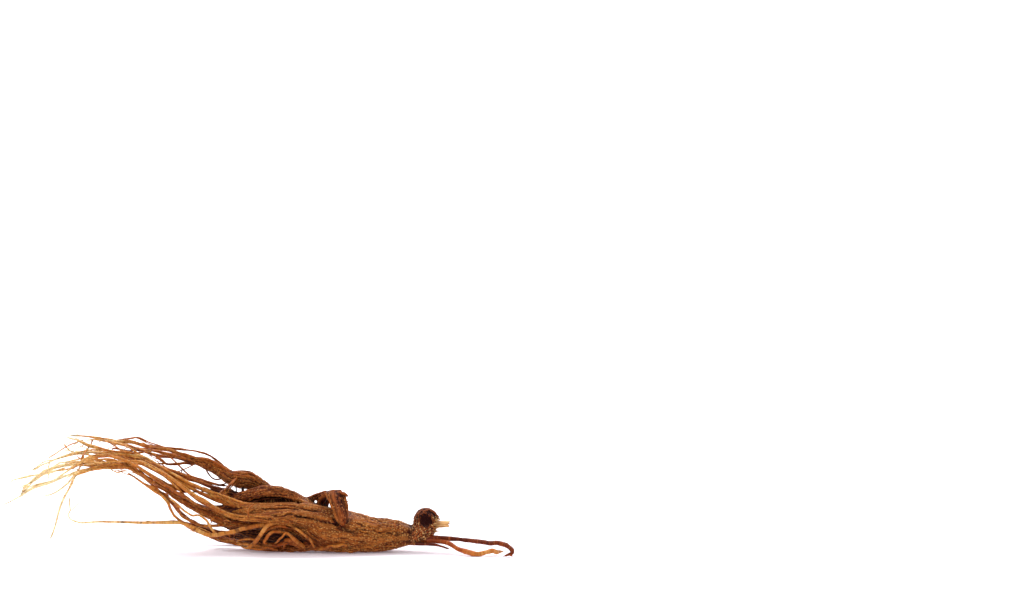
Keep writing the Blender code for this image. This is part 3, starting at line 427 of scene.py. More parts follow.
ROOTLETS: tuple[Limb, ...] = (
    Limb("top_a", (0.4, 0.86), ((-57, 37.6, 12, 0.95), (-62, 39.4, 12, 0.9), (-67, 41.2, 13, 0.9),
        (-71, 42.4, 13, 0.9), (-76, 43.3, 14, 0.95), (-80, 44, 15, 0.95), (-85, 45.4, 15, 0.85),
        (-90, 46.1, 15, 0.8), (-95, 46.6, 15, 0.75), (-99, 47.4, 15, 0.65), (-104.5, 48.2, 16, 0.5),
        (-110.5, 48.6, 17, 0.35))),
    Limb("top_b", (0.4, 0.86), ((-60, 37.4, 11, 0.6), (-65, 39.2, 10, 0.6), (-71, 40.8, 9, 0.6),
        (-76, 41.9, 9, 0.6), (-81, 42.6, 9, 0.62), (-86, 43.8, 10, 0.6), (-91, 45.1, 11, 0.55),
        (-96, 46.2, 12, 0.45), (-101, 46.6, 12, 0.35), (-105, 46.5, 12, 0.25))),
    Limb("top_c", (0.34, 0.6), ((-59, 36.8, 12, 0.78), (-65, 38.7, 13, 0.72), (-70, 39.1, 14, 0.65),
        (-74, 39.8, 15, 0.65), (-78, 41, 15, 0.65), (-81, 42.2, 16, 0.59), (-85, 43, 17, 0.39))),
    Limb("top_d", (0.34, 0.6), ((-59, 36.2, 11, 0.78), (-63, 36.6, 10, 0.72), (-67, 36.4, 9, 0.65),
        (-71, 36.6, 8, 0.65), (-73.4, 38, 7, 0.65), (-76, 39.8, 7, 0.59), (-80, 41.6, 7, 0.45))),
    Limb("top_dark", (0.16, 0.5), ((-66, 36.4, 9, 0.3), (-71, 36.1, 8, 0.3), (-77, 36.3, 7, 0.3), (-82, 37.6, 6, 0.3))),
    Limb("top_hair", (0.36, 0.6), ((-47, 35.2, 11, 0.55), (-51, 38.4, 12, 0.55), (-56, 41.2, 13, 0.5),
        (-63, 42.4, 14, 0.44), (-70, 43.2, 15, 0.39), (-77, 45, 16, 0.33), (-83, 47.5, 17, 0.33),
        (-89, 47, 17, 0.33), (-94, 45.6, 16, 0.33))),
    Limb("strut", (0.42, 0.5), ((-41.6, 30.6, 7.4, 0.7), (-43.4, 28.8, 5.5, 1), (-45.6, 26.5, 3, 1.05),
        (-47.6, 24.5, 0.5, 1), (-49.6, 23.1, -1.4, 0.8), (-53, 23.2, -2, 0.5))),
    Limb("strut_fork", (0.5, 0.56), ((-41.4, 29.4, 7.4, 0.36), (-43.2, 27.6, 5, 0.42),
        (-45.2, 25.6, 2.6, 0.42), (-47, 23.8, 0.4, 0.42), (-50, 22.8, -1.6, 0.36), (-54, 23.6, -2.6, 0.3))),
    # bridge_a and bridge_b are near black: painted shade in the gap beside the strut.
    Limb("bridge_a", (0.02, 0.06), ((-42.7, 28, 8.6, 0.5), (-42.5, 26, 8, 0.34), (-42.6, 23.6, 7, 0.5))),
    Limb("bridge_b", (0.02, 0.06), ((-39.9, 27.4, 8.6, 0.8), (-39.9, 25.6, 8, 0.62), (-40, 23.2, 7, 0.9))),
    Limb("edge_strap", (0.42, 0.5), ((-43.6, 32.2, 8.6, 0.5), (-46.4, 33.9, 8.8, 0.62), (-50, 36.2, 9.6, 0.62),
        (-54.5, 38.3, 10.8, 0.6), (-59, 39.2, 11.6, 0.55), (-64, 40.6, 12, 0.45), (-69, 42, 13, 0.4))),
    Limb("sheaf_a", (0.54, 0.92), ((-50, 22.9, -2, 0.95), (-56, 25.6, -1.6, 1.1), (-62, 28.3, -1, 1.15),
        (-67, 30.9, 0, 1.1), (-73, 34.6, 1, 1), (-79, 38, 2, 0.95), (-86, 39.9, 3, 0.9),
        (-94, 40.1, 4, 0.85), (-102, 41.2, 5, 0.8), (-109, 40.4, 6, 0.75), (-116, 38.4, 7, 0.7),
        (-121, 36.6, 8, 0.62), (-126, 34, 9, 0.42))),
    Limb("sheaf_h", (0.46, 0.74), ((-42, 18.2, -2.4, 0.9), (-46, 19.6, -2.4, 1.0), (-50, 21.2, -2.4, 1.0),
        (-56, 23.9, -2.2, 1.05), (-62, 26.7, -1.8, 1.0), (-67, 29.2, -1, 1.0), (-72, 32.2, -0.6, 0.95),
        (-78, 35.2, 0, 0.9), (-84, 37.6, 1, 0.8), (-91, 38.4, 2, 0.6))),
    Limb("sheaf_b", (0.56, 0.92), ((-42, 14.3, -5.6, 0.8), (-46, 15.4, -5.4, 0.9), (-51, 17.5, -5.2, 0.95),
        (-57, 21.2, -5, 0.95), (-63, 25.4, -4, 0.95), (-69, 29.7, -4, 0.95), (-75, 33.6, -3, 0.9),
        (-81, 36.4, -3, 0.85), (-88, 37, -2, 0.8), (-96, 36.3, -1, 0.8), (-104, 36.4, 0, 0.75),
        (-112, 35.8, 0, 0.7), (-118, 34.2, -1, 0.62), (-123, 31.4, -2, 0.55), (-127, 28, -3, 0.45),
        (-130.5, 25.2, -3, 0.35))),
    Limb("sheaf_c", (0.46, 0.92), ((-64, 21.8, -4, 1), (-70, 25, -4.6, 1), (-76, 28.4, -5.4, 0.95),
        (-82, 32.2, -6.4, 0.9), (-87, 34.6, -7.4, 0.9), (-93, 34.9, -8, 0.85), (-99, 34.3, -8, 0.8),
        (-106, 32.7, -9, 0.75), (-112, 31, -9, 0.7), (-118, 28.6, -10, 0.65), (-125, 26.4, -11, 0.6),
        (-131, 22.4, -12, 0.5), (-138, 18.8, -13, 0.34))),
    Limb("sheaf_d", (0.44, 0.84), ((-62, 24.8, -1, 0.8), (-68, 26.6, -2, 0.85), (-74, 29.2, -4, 0.8),
        (-80, 33.4, -5, 0.8), (-86, 35.6, -5, 0.75), (-92, 35.6, -6, 0.6), (-98, 35.3, -6, 0.45))),
    Limb("sheaf_e", (0.3, 0.9), ((-43.4, 25.4, 6.4, 0.9), (-47, 25.6, 6, 1.05), (-51, 26.4, 6, 1),
        (-57, 28.7, 5, 1), (-63, 30.7, 5, 0.95), (-69, 33.2, 5, 0.9), (-75, 35.8, 4, 0.9),
        (-81, 39, 5, 0.9), (-87, 40.8, 6, 0.9), (-92, 41.2, 6, 0.85), (-97, 42.3, 7, 0.8),
        (-101, 43.4, 8, 0.8), (-105, 45, 8, 0.75), (-108, 46.4, 9, 0.62), (-111.5, 47.4, 9, 0.42))),
    Limb("sheaf_f", (0.3, 0.66), ((-46, 27.2, 8, 0.6), (-51, 27.9, 7, 0.65), (-57, 29.8, 6, 0.7),
        (-63, 31.6, 4, 0.7), (-69, 33.8, 2, 0.7), (-76, 36, 1, 0.65), (-82, 38.4, 0, 0.6),
        (-88, 39.4, 0, 0.5), (-94, 39.7, 1, 0.4))),
    Limb("sheaf_g", (0.46, 0.92), ((-54, 17.2, -4, 0.8), (-60, 20.2, -5, 0.85), (-66, 23.6, -6, 0.85),
        (-72, 27.6, -6, 0.8), (-78, 31.4, -7, 0.8), (-84, 35.4, -6, 0.75), (-90, 38.3, -5, 0.7),
        (-96, 39.2, -5, 0.65), (-101, 39, -5, 0.6), (-105, 37.4, -5, 0.6), (-109, 35, -6, 0.55),
        (-113, 32, -7, 0.5), (-117, 29.2, -8, 0.45), (-124, 26.9, -8, 0.35), (-130, 24.6, -8, 0.25))),
    Limb("core_a", (0.22, 0.7), ((-48, 22.4, 2, 0.7), (-55, 25.2, 3, 0.75), (-62, 28, 4, 0.75),
        (-69, 31.6, 6, 0.75), (-76, 35, 8, 0.7), (-83, 38, 9, 0.6), (-90, 39.2, 10, 0.5),
        (-96, 39.5, 11, 0.35))),
    Limb("fine_a", (0.6, 0.92), ((-92, 37.9, -3, 0.4), (-97, 38.2, -2, 0.38), (-102, 37.7, -1, 0.34),
        (-108, 37.6, 1, 0.3), (-113, 36.6, 2, 0.24))),
    Limb("fine_b", (0.6, 0.95), ((-104, 36.4, -4, 0.42), (-110, 34.3, -5, 0.38), (-117, 33, -6, 0.34),
        (-124, 31.6, -7, 0.28), (-132, 29.6, -8, 0.2))),
    Limb("fine_c", (0.34, 0.4), ((-78, 41.4, 10, 0.34), (-82, 42, 9, 0.36), (-87, 41.7, 8, 0.4),
        (-90, 42.3, 8, 0.4), (-92.6, 42.6, 8, 0.34), (-93.2, 41.4, 8, 0.22))),
    Limb("drop_long", (0.72, 0.92), ((-100, 34.6, -6, 0.65), (-104.5, 33.2, -6, 0.61),
        (-108, 31.4, -7, 0.56), (-110, 27.4, -8, 0.52), (-112.6, 22.8, -9, 0.47), (-114.6, 18, -9, 0.45),
        (-116, 13, -9, 0.42), (-117.4, 8.8, -9, 0.38), (-118.8, 4.8, -9, 0.29))),
    Limb("drop_short", (0.74, 0.95), ((-101, 33.8, -6, 0.52), (-108.4, 31.2, -8, 0.43),
        (-111.6, 27.8, -10, 0.39), (-115.4, 24.6, -11, 0.34), (-119, 22.8, -12, 0.3),
        (-121.5, 23, -12, 0.26))),
    Limb("under_a", (0.42, 0.7), ((-70, 22.8, -6, 0.8), (-75, 25.2, -8, 0.6), (-80, 27.8, -9, 0.35))),
    Limb("stray_a", (0.42, 0.5), ((-100.6, 47, 14, 0.31), (-103, 43, 7, 0.31), (-105.4, 38.6, 1, 0.31),
        (-106.2, 35.4, -4, 0.31), (-108.4, 31.6, -8, 0.31))),
    Limb("long_low", (0.5, 1), ((-30, 11.2, -7, 0.89), (-35, 10.2, -8, 0.85), (-41, 9.2, -8, 0.83),
        (-46, 7.6, -8, 0.83), (-50, 6.6, -8, 0.85), (-54, 7.2, -8, 0.85), (-59, 9.2, -8, 0.81),
        (-64.5, 11.6, -8, 0.77), (-70, 12.1, -8, 0.73), (-78, 12, -8, 0.6), (-88, 11.8, -7, 0.5),
        (-98, 12, -7, 0.4), (-106, 12.1, -7, 0.36), (-110, 13, -7, 0.3), (-111.3, 14.9, -7, 0.3),
        (-110.4, 17, -7, 0.31), (-110.6, 23, -7, 0.32))),
    Limb("low_climb", (0.56, 0.66), ((-63, 11.2, -8, 0.59), (-66.5, 13.6, -8, 0.59), (-69, 17, -8, 0.59),
        (-71, 20.4, -8, 0.59), (-75, 24, -8, 0.55), (-81, 28.6, -8, 0.47), (-87, 32.4, -8, 0.32))),
    Limb("low_curve", (0.5, 0.6), ((-46, 10.8, -2, 0.65), (-51, 10.6, -4, 0.61), (-57, 11, -5, 0.58),
        (-61.5, 12.4, -6, 0.54), (-65, 15, -6, 0.5), (-66.4, 18.4, -6, 0.47), (-69, 21.4, -6, 0.43),
        (-74, 25, -6, 0.29))),
    Limb("pale_curve", (0.7, 0.66), ((-51, 7.4, -8, 0.5), (-52.8, 10, -8, 0.5), (-55, 13, -8, 0.46),
        (-58, 15, -8, 0.41), (-61, 15.1, -8, 0.41), (-64.5, 17.2, -8, 0.41), (-68, 20.4, -8, 0.38),
        (-73, 23.4, -8, 0.28))),
    Limb("front_long", (0.44, 0.56), ((-48, 5.3, 8, 0.72), (-54, 6.6, 5, 0.68), (-59, 8.6, 0, 0.64),
        (-64, 10.8, -6, 0.48))),
    Limb("lower_run", (0.24, 0.6), ((-57, 10.2, 18, 1), (-63, 14.2, 17, 0.85), (-68, 19, 16, 0.8),
        (-73, 24.4, 15, 0.75), (-79, 30.2, 14, 0.65), (-86, 34.8, 13, 0.5), (-94, 36, 13, 0.3))),
    Limb("lower_back", (0.24, 0.5), ((-57, 10.2, 18, 0.72), (-63, 12, 20, 0.64), (-70, 12.5, 22, 0.5),
        (-76, 12.3, 23, 0.38), (-81, 12, 23, 0.28))),
    Limb("arch", (0.58, 0.62), ((-17.6, 9.2, -7, 0.5), (-19.4, 10.6, -8, 0.66), (-22, 11.6, -8.6, 0.8),
        (-25, 11.9, -9, 0.86), (-28.2, 11.2, -9.2, 0.86), (-30.6, 9.6, -9.2, 0.84),
        (-32.4, 7.4, -8.8, 0.8), (-34.2, 4.7, -7.6, 0.8), (-35.8, 2.8, -6, 0.76), (-38, 1.6, -4, 0.62),
        (-40.2, 2.2, -2, 0.45), (-41.6, 3.4, -1, 0.25))),
    Limb("arch_strand", (0.54, 0.58), ((-11, 2.4, -8.6, 0.36), (-12.4, 4, -9.2, 0.46),
        (-14.2, 5.9, -9.5, 0.5), (-16.2, 7.8, -9.6, 0.5), (-18.2, 9.6, -9.4, 0.48), (-20.4, 11, -9, 0.4))),
    Limb("curl_a", (0.58, 0.62), ((-21.4, 7, -6, 0.4), (-24.4, 8, -8, 0.6), (-27, 8.3, -8.8, 0.7),
        (-29.2, 7.4, -8.8, 0.7), (-30.4, 5.6, -8, 0.7), (-31.2, 4, -6.6, 0.66), (-30, 2.9, -5.4, 0.6),
        (-27.6, 2.4, -4.6, 0.55), (-25.6, 2.2, -4.4, 0.4))),
    Limb("curl_b", (0.58, 0.62), ((-14.8, 1.8, -4.6, 0.8), (-16.8, 3.4, -6.6, 0.85),
        (-18.6, 4.9, -7.8, 0.8), (-20.4, 6.7, -8.6, 0.66), (-21.8, 7.7, -9.2, 0.5), (-23, 7.4, -9.4, 0.42),
        (-23.9, 6.2, -9.2, 0.42), (-24.6, 5, -8.8, 0.44), (-25.6, 3.8, -8, 0.46), (-26.8, 2.9, -6.6, 0.4))),
    Limb("curl_core", (0.42, 0.5), ((-17, 2.2, -4.6, 1), (-19.6, 4.4, -6, 1.15), (-21.6, 4.9, -6.6, 1),
        (-23.4, 3.6, -6.2, 0.8), (-25.6, 2.6, -5, 0.9), (-28.6, 2.6, -3.8, 0.9), (-31, 3.2, -2.6, 0.7))),
    Limb("curl_under", (0.36, 0.44), ((-18.4, 9, -6.6, 0.5), (-21.6, 10, -7.4, 0.62),
        (-25, 10.2, -7.8, 0.66), (-28, 9.6, -7.6, 0.6), (-30.2, 8.4, -6.4, 0.45), (-31.6, 6.4, -4, 0.35))),
    Limb("curl_c", (0.46, 0.5), ((-19, 2.6, -6, 0.5), (-21.4, 3.4, -7.8, 0.42), (-22.7, 2.9, -8.4, 0.36),
        (-23.2, 1.7, -8.4, 0.32), (-23.5, 0.7, -8, 0.24))),
    Limb("curl_d", (0.58, 0.62), ((-41.4, 4.2, -5, 0.26), (-39, 4.9, -5.6, 0.4), (-36.4, 5.1, -6, 0.42),
        (-34.2, 4.5, -6, 0.36), (-32.4, 3.4, -5.6, 0.3))),
    Limb("curl_e", (0.58, 0.62), ((-33.6, 2.4, -4.6, 0.5), (-36.4, 2.6, -5.2, 0.5), (-39, 3.2, -5.2, 0.42),
        (-41.6, 3, -4.6, 0.34), (-43.2, 4.2, -4, 0.26), (-43.2, 5.4, -3.6, 0.18))),
    Limb("curl_f", (0.54, 0.58), ((-27, 0.9, -4.6, 0.6), (-30, 1.3, -5.4, 0.62), (-33, 1, -5.4, 0.55),
        (-36, 1.4, -5, 0.45), (-38.4, 1, -4.4, 0.3))),
    Limb("toe", (0.5, 0.64), ((-9, 1, -5, 0.9), (-6, 1.3, -7, 0.85), (-3.6, 1.9, -7.8, 0.6),
        (-1, 1.8, -8.2, 0.72), (1, 2.6, -8.6, 0.5), (2.4, 2.4, -8.6, 0.4), (3.4, 2.9, -8.6, 0.22))),
    Limb("neck_a", (0.2, 0.3), ((33, 5.4, -1, 1.3), (38, 5.6, -2, 1.15), (45, 5.2, -3, 0.95),
        (50, 5, -4, 0.9), (54.5, 4.7, -5, 0.95), (58, 4.1, -6.5, 1), (61.5, 3.3, -8, 1),
        (65, 3.5, -10, 0.95), (68, 2.4, -12, 1), (70.2, 0.9, -13.4, 0.95), (70.4, -0.7, -14.4, 0.8),
        (68.8, -1.6, -15, 0.55), (67, -2.1, -15.2, 0.3))),
    Limb("neck_b", (0.26, 0.86), ((33, 4.6, -1, 1.3), (38, 4.6, -2.5, 1.1), (44, 3.5, -5, 0.95),
        (48, 1.3, -8, 0.95), (52.4, -0.3, -11, 1.05), (56.5, -1.2, -13, 1.05), (59.2, -0.6, -12.5, 0.9),
        (62.4, 0.4, -11, 1), (64.6, 0.1, -10, 0.85), (67.4, 0.1, -9.4, 0.35))),
    Limb("neck_c", (0.2, 0.24), ((31, 3.6, -2, 0.92), (35, 3.3, -4, 0.69), (40, 2.4, -6, 0.57),
        (45, 0.4, -7, 0.4))),
)


Colour = tuple[float, float, float]


def shade(red: int, green: int, blue: int) -> Colour:
    """A screen colour, given from 0 to 255, as the light that it stands for."""
    def light(value: int) -> float:
        share = value / 255
        return share / 12.92 if share <= 0.04045 else ((share + 0.055) / 1.055) ** 2.4
    return light(red), light(green), light(blue)


def ramp(net: Net, value: bpy.types.NodeSocket, stops: Sequence[tuple[float, Colour]]) -> bpy.types.NodeSocket:
    """A colour for a number, along a ramp of stops."""
    node = net.add("ShaderNodeValToRGB", {0: value})
    node.color_ramp.interpolation = "EASE"
    while len(node.color_ramp.elements) < len(stops):
        node.color_ramp.elements.new(0.5)
    for element, (place, colour) in zip(node.color_ramp.elements, stops):
        element.position = place
        element.color = (*colour, 1)
    return node.outputs[0]


@dataclass(frozen=True)
class RootSkin:
    """Steamed and dried skin: amber brown, with painted shade in its creases, ridges lighter partly as painted
    highlight, and tan flecks in rows along it that also stand in as painted glints.

    The mesh carries what it follows: grain (the way along the limb, and the place round it, in millimetres),
    tone (0 dark to 1 pale), cavity (above 0 in creases, below 0 on ridges) and fleck (how many flecks).

    Attributes:
        name: The material's name.
        roughness: How dull the skin is.
        coat: How waxy it is.
        glow: How much light spreads inside it.
        relief: The depth of its finest wrinkles, in metres.
        streak: The width of its colour streaks, in millimetres.
        hair: The width of its finest streaks, in millimetres.
        contrast: How much the streaks differ.
        ridge_wear_and_highlight: How much lighter its ridges are, partly as rubbed wear and partly as painted
            highlight.
        rings: How strong its fine cross wrinkles are.
        furrow: How far its fine dark furrows lie apart, in millimetres.
        inked: How dark those furrows are.
    """

    name: str
    roughness: float = 0.5
    coat: float = 0.03
    glow: float = 0.08
    relief: float = 0.0002
    streak: float = 1.6
    hair: float = 0.42
    contrast: float = 0.66
    ridge_wear_and_highlight: float = 0.55
    rings: float = 0.4
    furrow: float = 0.8
    inked: float = 0.55

    STOPS = ((0.0, shade(44, 12, 9)), (0.14, shade(78, 24, 8)), (0.3, shade(110, 50, 12)),
             (0.45, shade(146, 74, 20)), (0.62, shade(182, 112, 44)), (0.8, shade(208, 156, 88)),
             (1.0, shade(240, 214, 162)))
    # Dark colour of the fine furrows and lines, also laid over creases as painted shade.
    CREASE = shade(44, 12, 5)
    # Pale tan flecks, which also stand in as painted glints.
    FLECK_AND_GLINT = shade(208, 150, 86)
    OLIVE = shade(168, 112, 50)
    # Painted shade: a dim purplish tint for the deep recesses.
    RECESS_SHADE_COLOUR = shade(96, 56, 60)
    RUDDY = (0.92, 0.42, 0.36)
    # Ridge colour: partly rubbed wear, partly painted highlight.
    EDGE = shade(172, 106, 46)

    def made(self) -> bpy.types.Material:
        """Build the material.

        Returns:
            The finished material.
        """
        material = bpy.data.materials.new(self.name)
        material.use_nodes = True
        net = Net(material.node_tree)
        grain = net.add("ShaderNodeAttribute", attribute_name="grain").outputs["Vector"]
        tone = net.add("ShaderNodeAttribute", attribute_name="tone").outputs["Fac"]
        cavity = net.add("ShaderNodeAttribute", attribute_name="cavity").outputs["Fac"]
        fleck = net.add("ShaderNodeAttribute", attribute_name="fleck").outputs["Fac"]
        dusk = net.add("ShaderNodeAttribute", attribute_name="dusk").outputs["Fac"]
        ruddy = net.add("ShaderNodeAttribute", attribute_name="ruddy").outputs["Fac"]

        def along(length: float, width: float, seed: float, detail: float = 2.0) -> bpy.types.NodeSocket:
            """Noise in streaks of a length and a width."""
            place = net.vector("MULTIPLY", grain, (1 / length, 1 / width, 1 / width))
            return net.noise(place, 1.0, detail, seed)

        streak = along(self.streak * 12, self.streak, 1.0)
        blotch = along(7, 5, 2.0)
        fine = along(self.hair * 6, self.hair, 3.0)
        varied = net.math("ADD", tone, net.math("MULTIPLY", net.math("SUBTRACT", streak, 0.5), self.contrast))
        varied = net.math("ADD", varied, net.math("MULTIPLY", net.math("SUBTRACT", blotch, 0.5), 0.3))
        varied = net.math("ADD", varied, net.math("MULTIPLY", net.math("SUBTRACT", fine, 0.5),
                                                  self.contrast * 0.8), True)
        colour = ramp(net, varied, self.STOPS)
        olive = net.between(along(11, 2.6, 9.0), 0.46, 0.64)
        colour = net.mixed(net.math("MULTIPLY", net.math("MULTIPLY", olive, fleck), 0.35), colour, (*self.OLIVE, 1))
        # Painted shade in the deep recesses.
        colour = net.mixed(net.math("MULTIPLY", dusk, 0.8), colour, (*self.RECESS_SHADE_COLOUR, 1))
        away = net.math("ABSOLUTE", net.math("SUBTRACT", along(self.furrow * 6, self.furrow, 8.0), 0.5))
        furrows = net.between(away, 0.0, 0.05, 1.0, 0.0)
        colour = net.mixed(net.math("MULTIPLY", furrows, self.inked), colour, (*self.CREASE, 1))
        # Tan flecks in rows, which also stand in as painted glints.
        cells = net.vector("MULTIPLY", grain, (1 / 1.05, 1 / 0.72, 1 / 0.72))
        dots = net.add("ShaderNodeTexVoronoi", {"Vector": cells, "Scale": 1.0, "Randomness": 0.8})
        spots = net.between(dots.outputs["Distance"], 0.22, 0.48, 1.0, 0.0)
        rows = net.between(along(7, 0.9, 5.0, 1.0), 0.36, 0.48)
        speck = net.math("MULTIPLY", net.math("MULTIPLY", spots, rows), fleck)
        colour = net.mixed(speck, colour, (*self.FLECK_AND_GLINT, 1))
        lines = net.between(along(0.5, 3.2, 6.0, 1.0), 0.56, 0.7)
        colour = net.mixed(net.math("MULTIPLY", net.math("MULTIPLY", lines, fleck), 0.35), colour,
                           (*self.CREASE, 1))
        # Ridges made lighter: partly rubbed wear, partly painted highlight.
        ridge = net.between(net.math("MULTIPLY", cavity, -1.0), 0.15, 0.9)
        colour = net.mixed(net.math("MULTIPLY", ridge, self.ridge_wear_and_highlight), colour, (*self.EDGE, 1))
        # Painted shade: creases darkened by how deep they are.
        crease = net.between(cavity, 0.05, 0.85)
        colour = net.mixed(net.math("MULTIPLY", crease, 0.62), colour, (*self.CREASE, 1))
        colour = net.mixed(ruddy, colour, (*self.RUDDY, 1), "MULTIPLY")
        height = net.math("ADD", net.math("MULTIPLY", fine, 0.6), net.math("MULTIPLY", spots, 0.5))
        height = net.math("ADD", height, net.math("MULTIPLY", along(0.5, 2.4, 7.0), self.rings))
        height = net.math("SUBTRACT", height, net.math("MULTIPLY", furrows, 0.6))
        bump = net.add("ShaderNodeBump", {"Strength": 1.0, "Distance": self.relief, "Height": height})
        rough = net.math("ADD", self.roughness, net.math("MULTIPLY", net.math("SUBTRACT", blotch, 0.5), 0.3))
        surface = net.add("ShaderNodeBsdfPrincipled", {
            "Base Color": colour, "Roughness": rough, "Normal": bump.outputs[0], "Coat Weight": self.coat,
            "Coat Roughness": 0.3, "IOR": 1.45, "Specular IOR Level": 0.12, "Subsurface Weight": self.glow,
            "Subsurface Radius": (1.0, 0.45, 0.18), "Subsurface Scale": 0.0012})
        net.add("ShaderNodeOutputMaterial", {0: surface.outputs[0]})
        return material


@dataclass(frozen=True)
class Straw:
    """Dry, fibrous stem: pale straw with darker lengthwise grooves."""

    name: str
    pale: Colour = shade(234, 186, 118)
    groove: Colour = shade(176, 112, 52)
    stain: Colour = shade(92, 44, 20)

    def made(self) -> bpy.types.Material:
        """Build the material.

        Returns:
            The finished material.
        """
        material = bpy.data.materials.new(self.name)
        material.use_nodes = True
        net = Net(material.node_tree)
        grain = net.add("ShaderNodeAttribute", attribute_name="grain").outputs["Vector"]
        tone = net.add("ShaderNodeAttribute", attribute_name="tone").outputs["Fac"]
        fibre = net.noise(net.vector("MULTIPLY", grain, (1 / 6, 1 / 0.28, 1 / 0.28)), 1.0, 2.0, 1.0)
        patch = net.noise(net.vector("MULTIPLY", grain, (1 / 1.6, 1 / 1.2, 1 / 1.2)), 1.0, 2.0, 2.0)
        colour = net.mixed(net.between(fibre, 0.35, 0.65), (*self.groove, 1), (*self.pale, 1))
        dirt = net.math("ADD", net.math("SUBTRACT", 1.0, tone), net.math("SUBTRACT", patch, 0.5), True)
        colour = net.mixed(net.math("MULTIPLY", dirt, 0.85), colour, (*self.stain, 1))
        bump = net.add("ShaderNodeBump", {"Strength": 1.0, "Distance": 0.00012, "Height": fibre})
        rough = net.math("ADD", 0.6, net.math("MULTIPLY", fibre, 0.2))
        surface = net.add("ShaderNodeBsdfPrincipled", {
            "Base Color": colour, "Roughness": rough, "Normal": bump.outputs[0], "IOR": 1.5,
            "Subsurface Weight": 0.15, "Subsurface Radius": (1.0, 0.7, 0.4), "Subsurface Scale": 0.0006})
        net.add("ShaderNodeOutputMaterial", {0: surface.outputs[0]})
        return material


@dataclass(frozen=True)
class Paper:
    """The matt white sweep that the root lies on: a little paler behind, greyer round the root as a painted shadow, and
    glowing faintly as painted fill light.
    """

    name: str = "white sweep"
    near: Colour = shade(246, 245, 249)
    shaded: Colour = shade(236, 231, 237)
    far: Colour = shade(252, 252, 254)
    # Colour of the faint glow, painted fill light.
    painted_fill_glow: Colour = shade(222, 208, 220)

    def made(self) -> bpy.types.Material:
        """Build the material.

        Returns:
            The finished material.
        """
        material = bpy.data.materials.new(self.name)
        material.use_nodes = True
        net = Net(material.node_tree)
        place = net.add("ShaderNodeTexCoord").outputs["Object"]
        apart = net.add("ShaderNodeSeparateXYZ", {0: place})
        behind = net.between(apart.outputs[1], 0.0, 0.25)
        colour = net.mixed(behind, (*self.near, 1), (*self.far, 1))
        # Painted shadow: greyer in a soft patch round the root.
        across = net.math("MULTIPLY", net.math("SUBTRACT", apart.outputs[0], 0.0), 1 / 0.1)
        deep = net.math("MULTIPLY", apart.outputs[1], 1 / 0.05)
        far = net.math("SQRT", net.math("ADD", net.math("MULTIPLY", across, across),
                                        net.math("MULTIPLY", deep, deep)))
        colour = net.mixed(net.between(far, 0.5, 1.3, 1.0, 0.0), colour, (*self.shaded, 1))
        # A faint glow, as painted fill light that lifts the shadows.
        surface = net.add("ShaderNodeBsdfPrincipled", {
            "Base Color": colour, "Roughness": 0.85, "Specular IOR Level": 0.2,
            "Emission Color": (*self.painted_fill_glow, 1), "Emission Strength": 0.2})
        net.add("ShaderNodeOutputMaterial", {0: surface.outputs[0]})
        return material


class Tree:
    """A Geometry Nodes tree with named inputs."""

    def __init__(self, name: str, sizes: dict[str, float]) -> None:
        """Make the tree's group, its sockets and its first and last nodes.

        Args:
            name: What the tree is called.
            sizes: Its inputs by name, with their usual values.
        """
        self.group = bpy.data.node_groups.new(name, "GeometryNodeTree")
        self.net = Net(self.group)
        face = self.group.interface
        face.new_socket("Geometry", in_out="OUTPUT", socket_type="NodeSocketGeometry")
        face.new_socket("Geometry", in_out="INPUT", socket_type="NodeSocketGeometry")
        self.sockets: dict[str, str] = {}
        for label, usual in sizes.items():
            socket = face.new_socket(label, in_out="INPUT", socket_type="NodeSocketFloat")
            socket.default_value = usual
            self.sockets[label] = socket.identifier
        skin = face.new_socket("Finish", in_out="INPUT", socket_type="NodeSocketMaterial")
        self.sockets["Finish"] = skin.identifier
        self.start = self.net.add("NodeGroupInput")
        self.geometry = self.start.outputs["Geometry"]

    def size(self, label: str) -> bpy.types.NodeSocket:
        """One of the tree's inputs."""
        return self.start.outputs[label]

    def named(self, name: str, kind: str = "FLOAT") -> bpy.types.NodeSocket:
        """What the mesh carries under a name."""
        return self.net.add("GeometryNodeInputNamedAttribute", {"Name": name}, data_type=kind).outputs[0]

    def close(self, geometry: bpy.types.NodeSocket) -> "Tree":
        """End the tree in real geometry with its finish."""
        real = self.net.add("GeometryNodeRealizeInstances", {0: geometry})
        soft = self.net.add("GeometryNodeSetShadeSmooth", {"Geometry": real.outputs[0]})
        skin = self.net.add("GeometryNodeSetMaterial",
                            {"Geometry": soft.outputs[0], "Material": self.size("Finish")})
        self.net.add("NodeGroupOutput", {0: skin.outputs[0]})
        return self

    def put_on(self, obj: bpy.types.Object, finish: bpy.types.Material, sizes: dict[str, float]) -> None:
        """Run the tree on an object with its own sizes, and keep the outcome as a plain mesh.

        Args:
            obj: What the tree is put on.
            finish: The material that it ends with.
            sizes: The values of its inputs, by name.
        """
        modifier = obj.modifiers.new(self.group.name, "NODES")
        modifier.node_group = self.group
        for label, value in {**sizes, "Finish": finish}.items():
            modifier[self.sockets[label]] = value
        baked(obj)


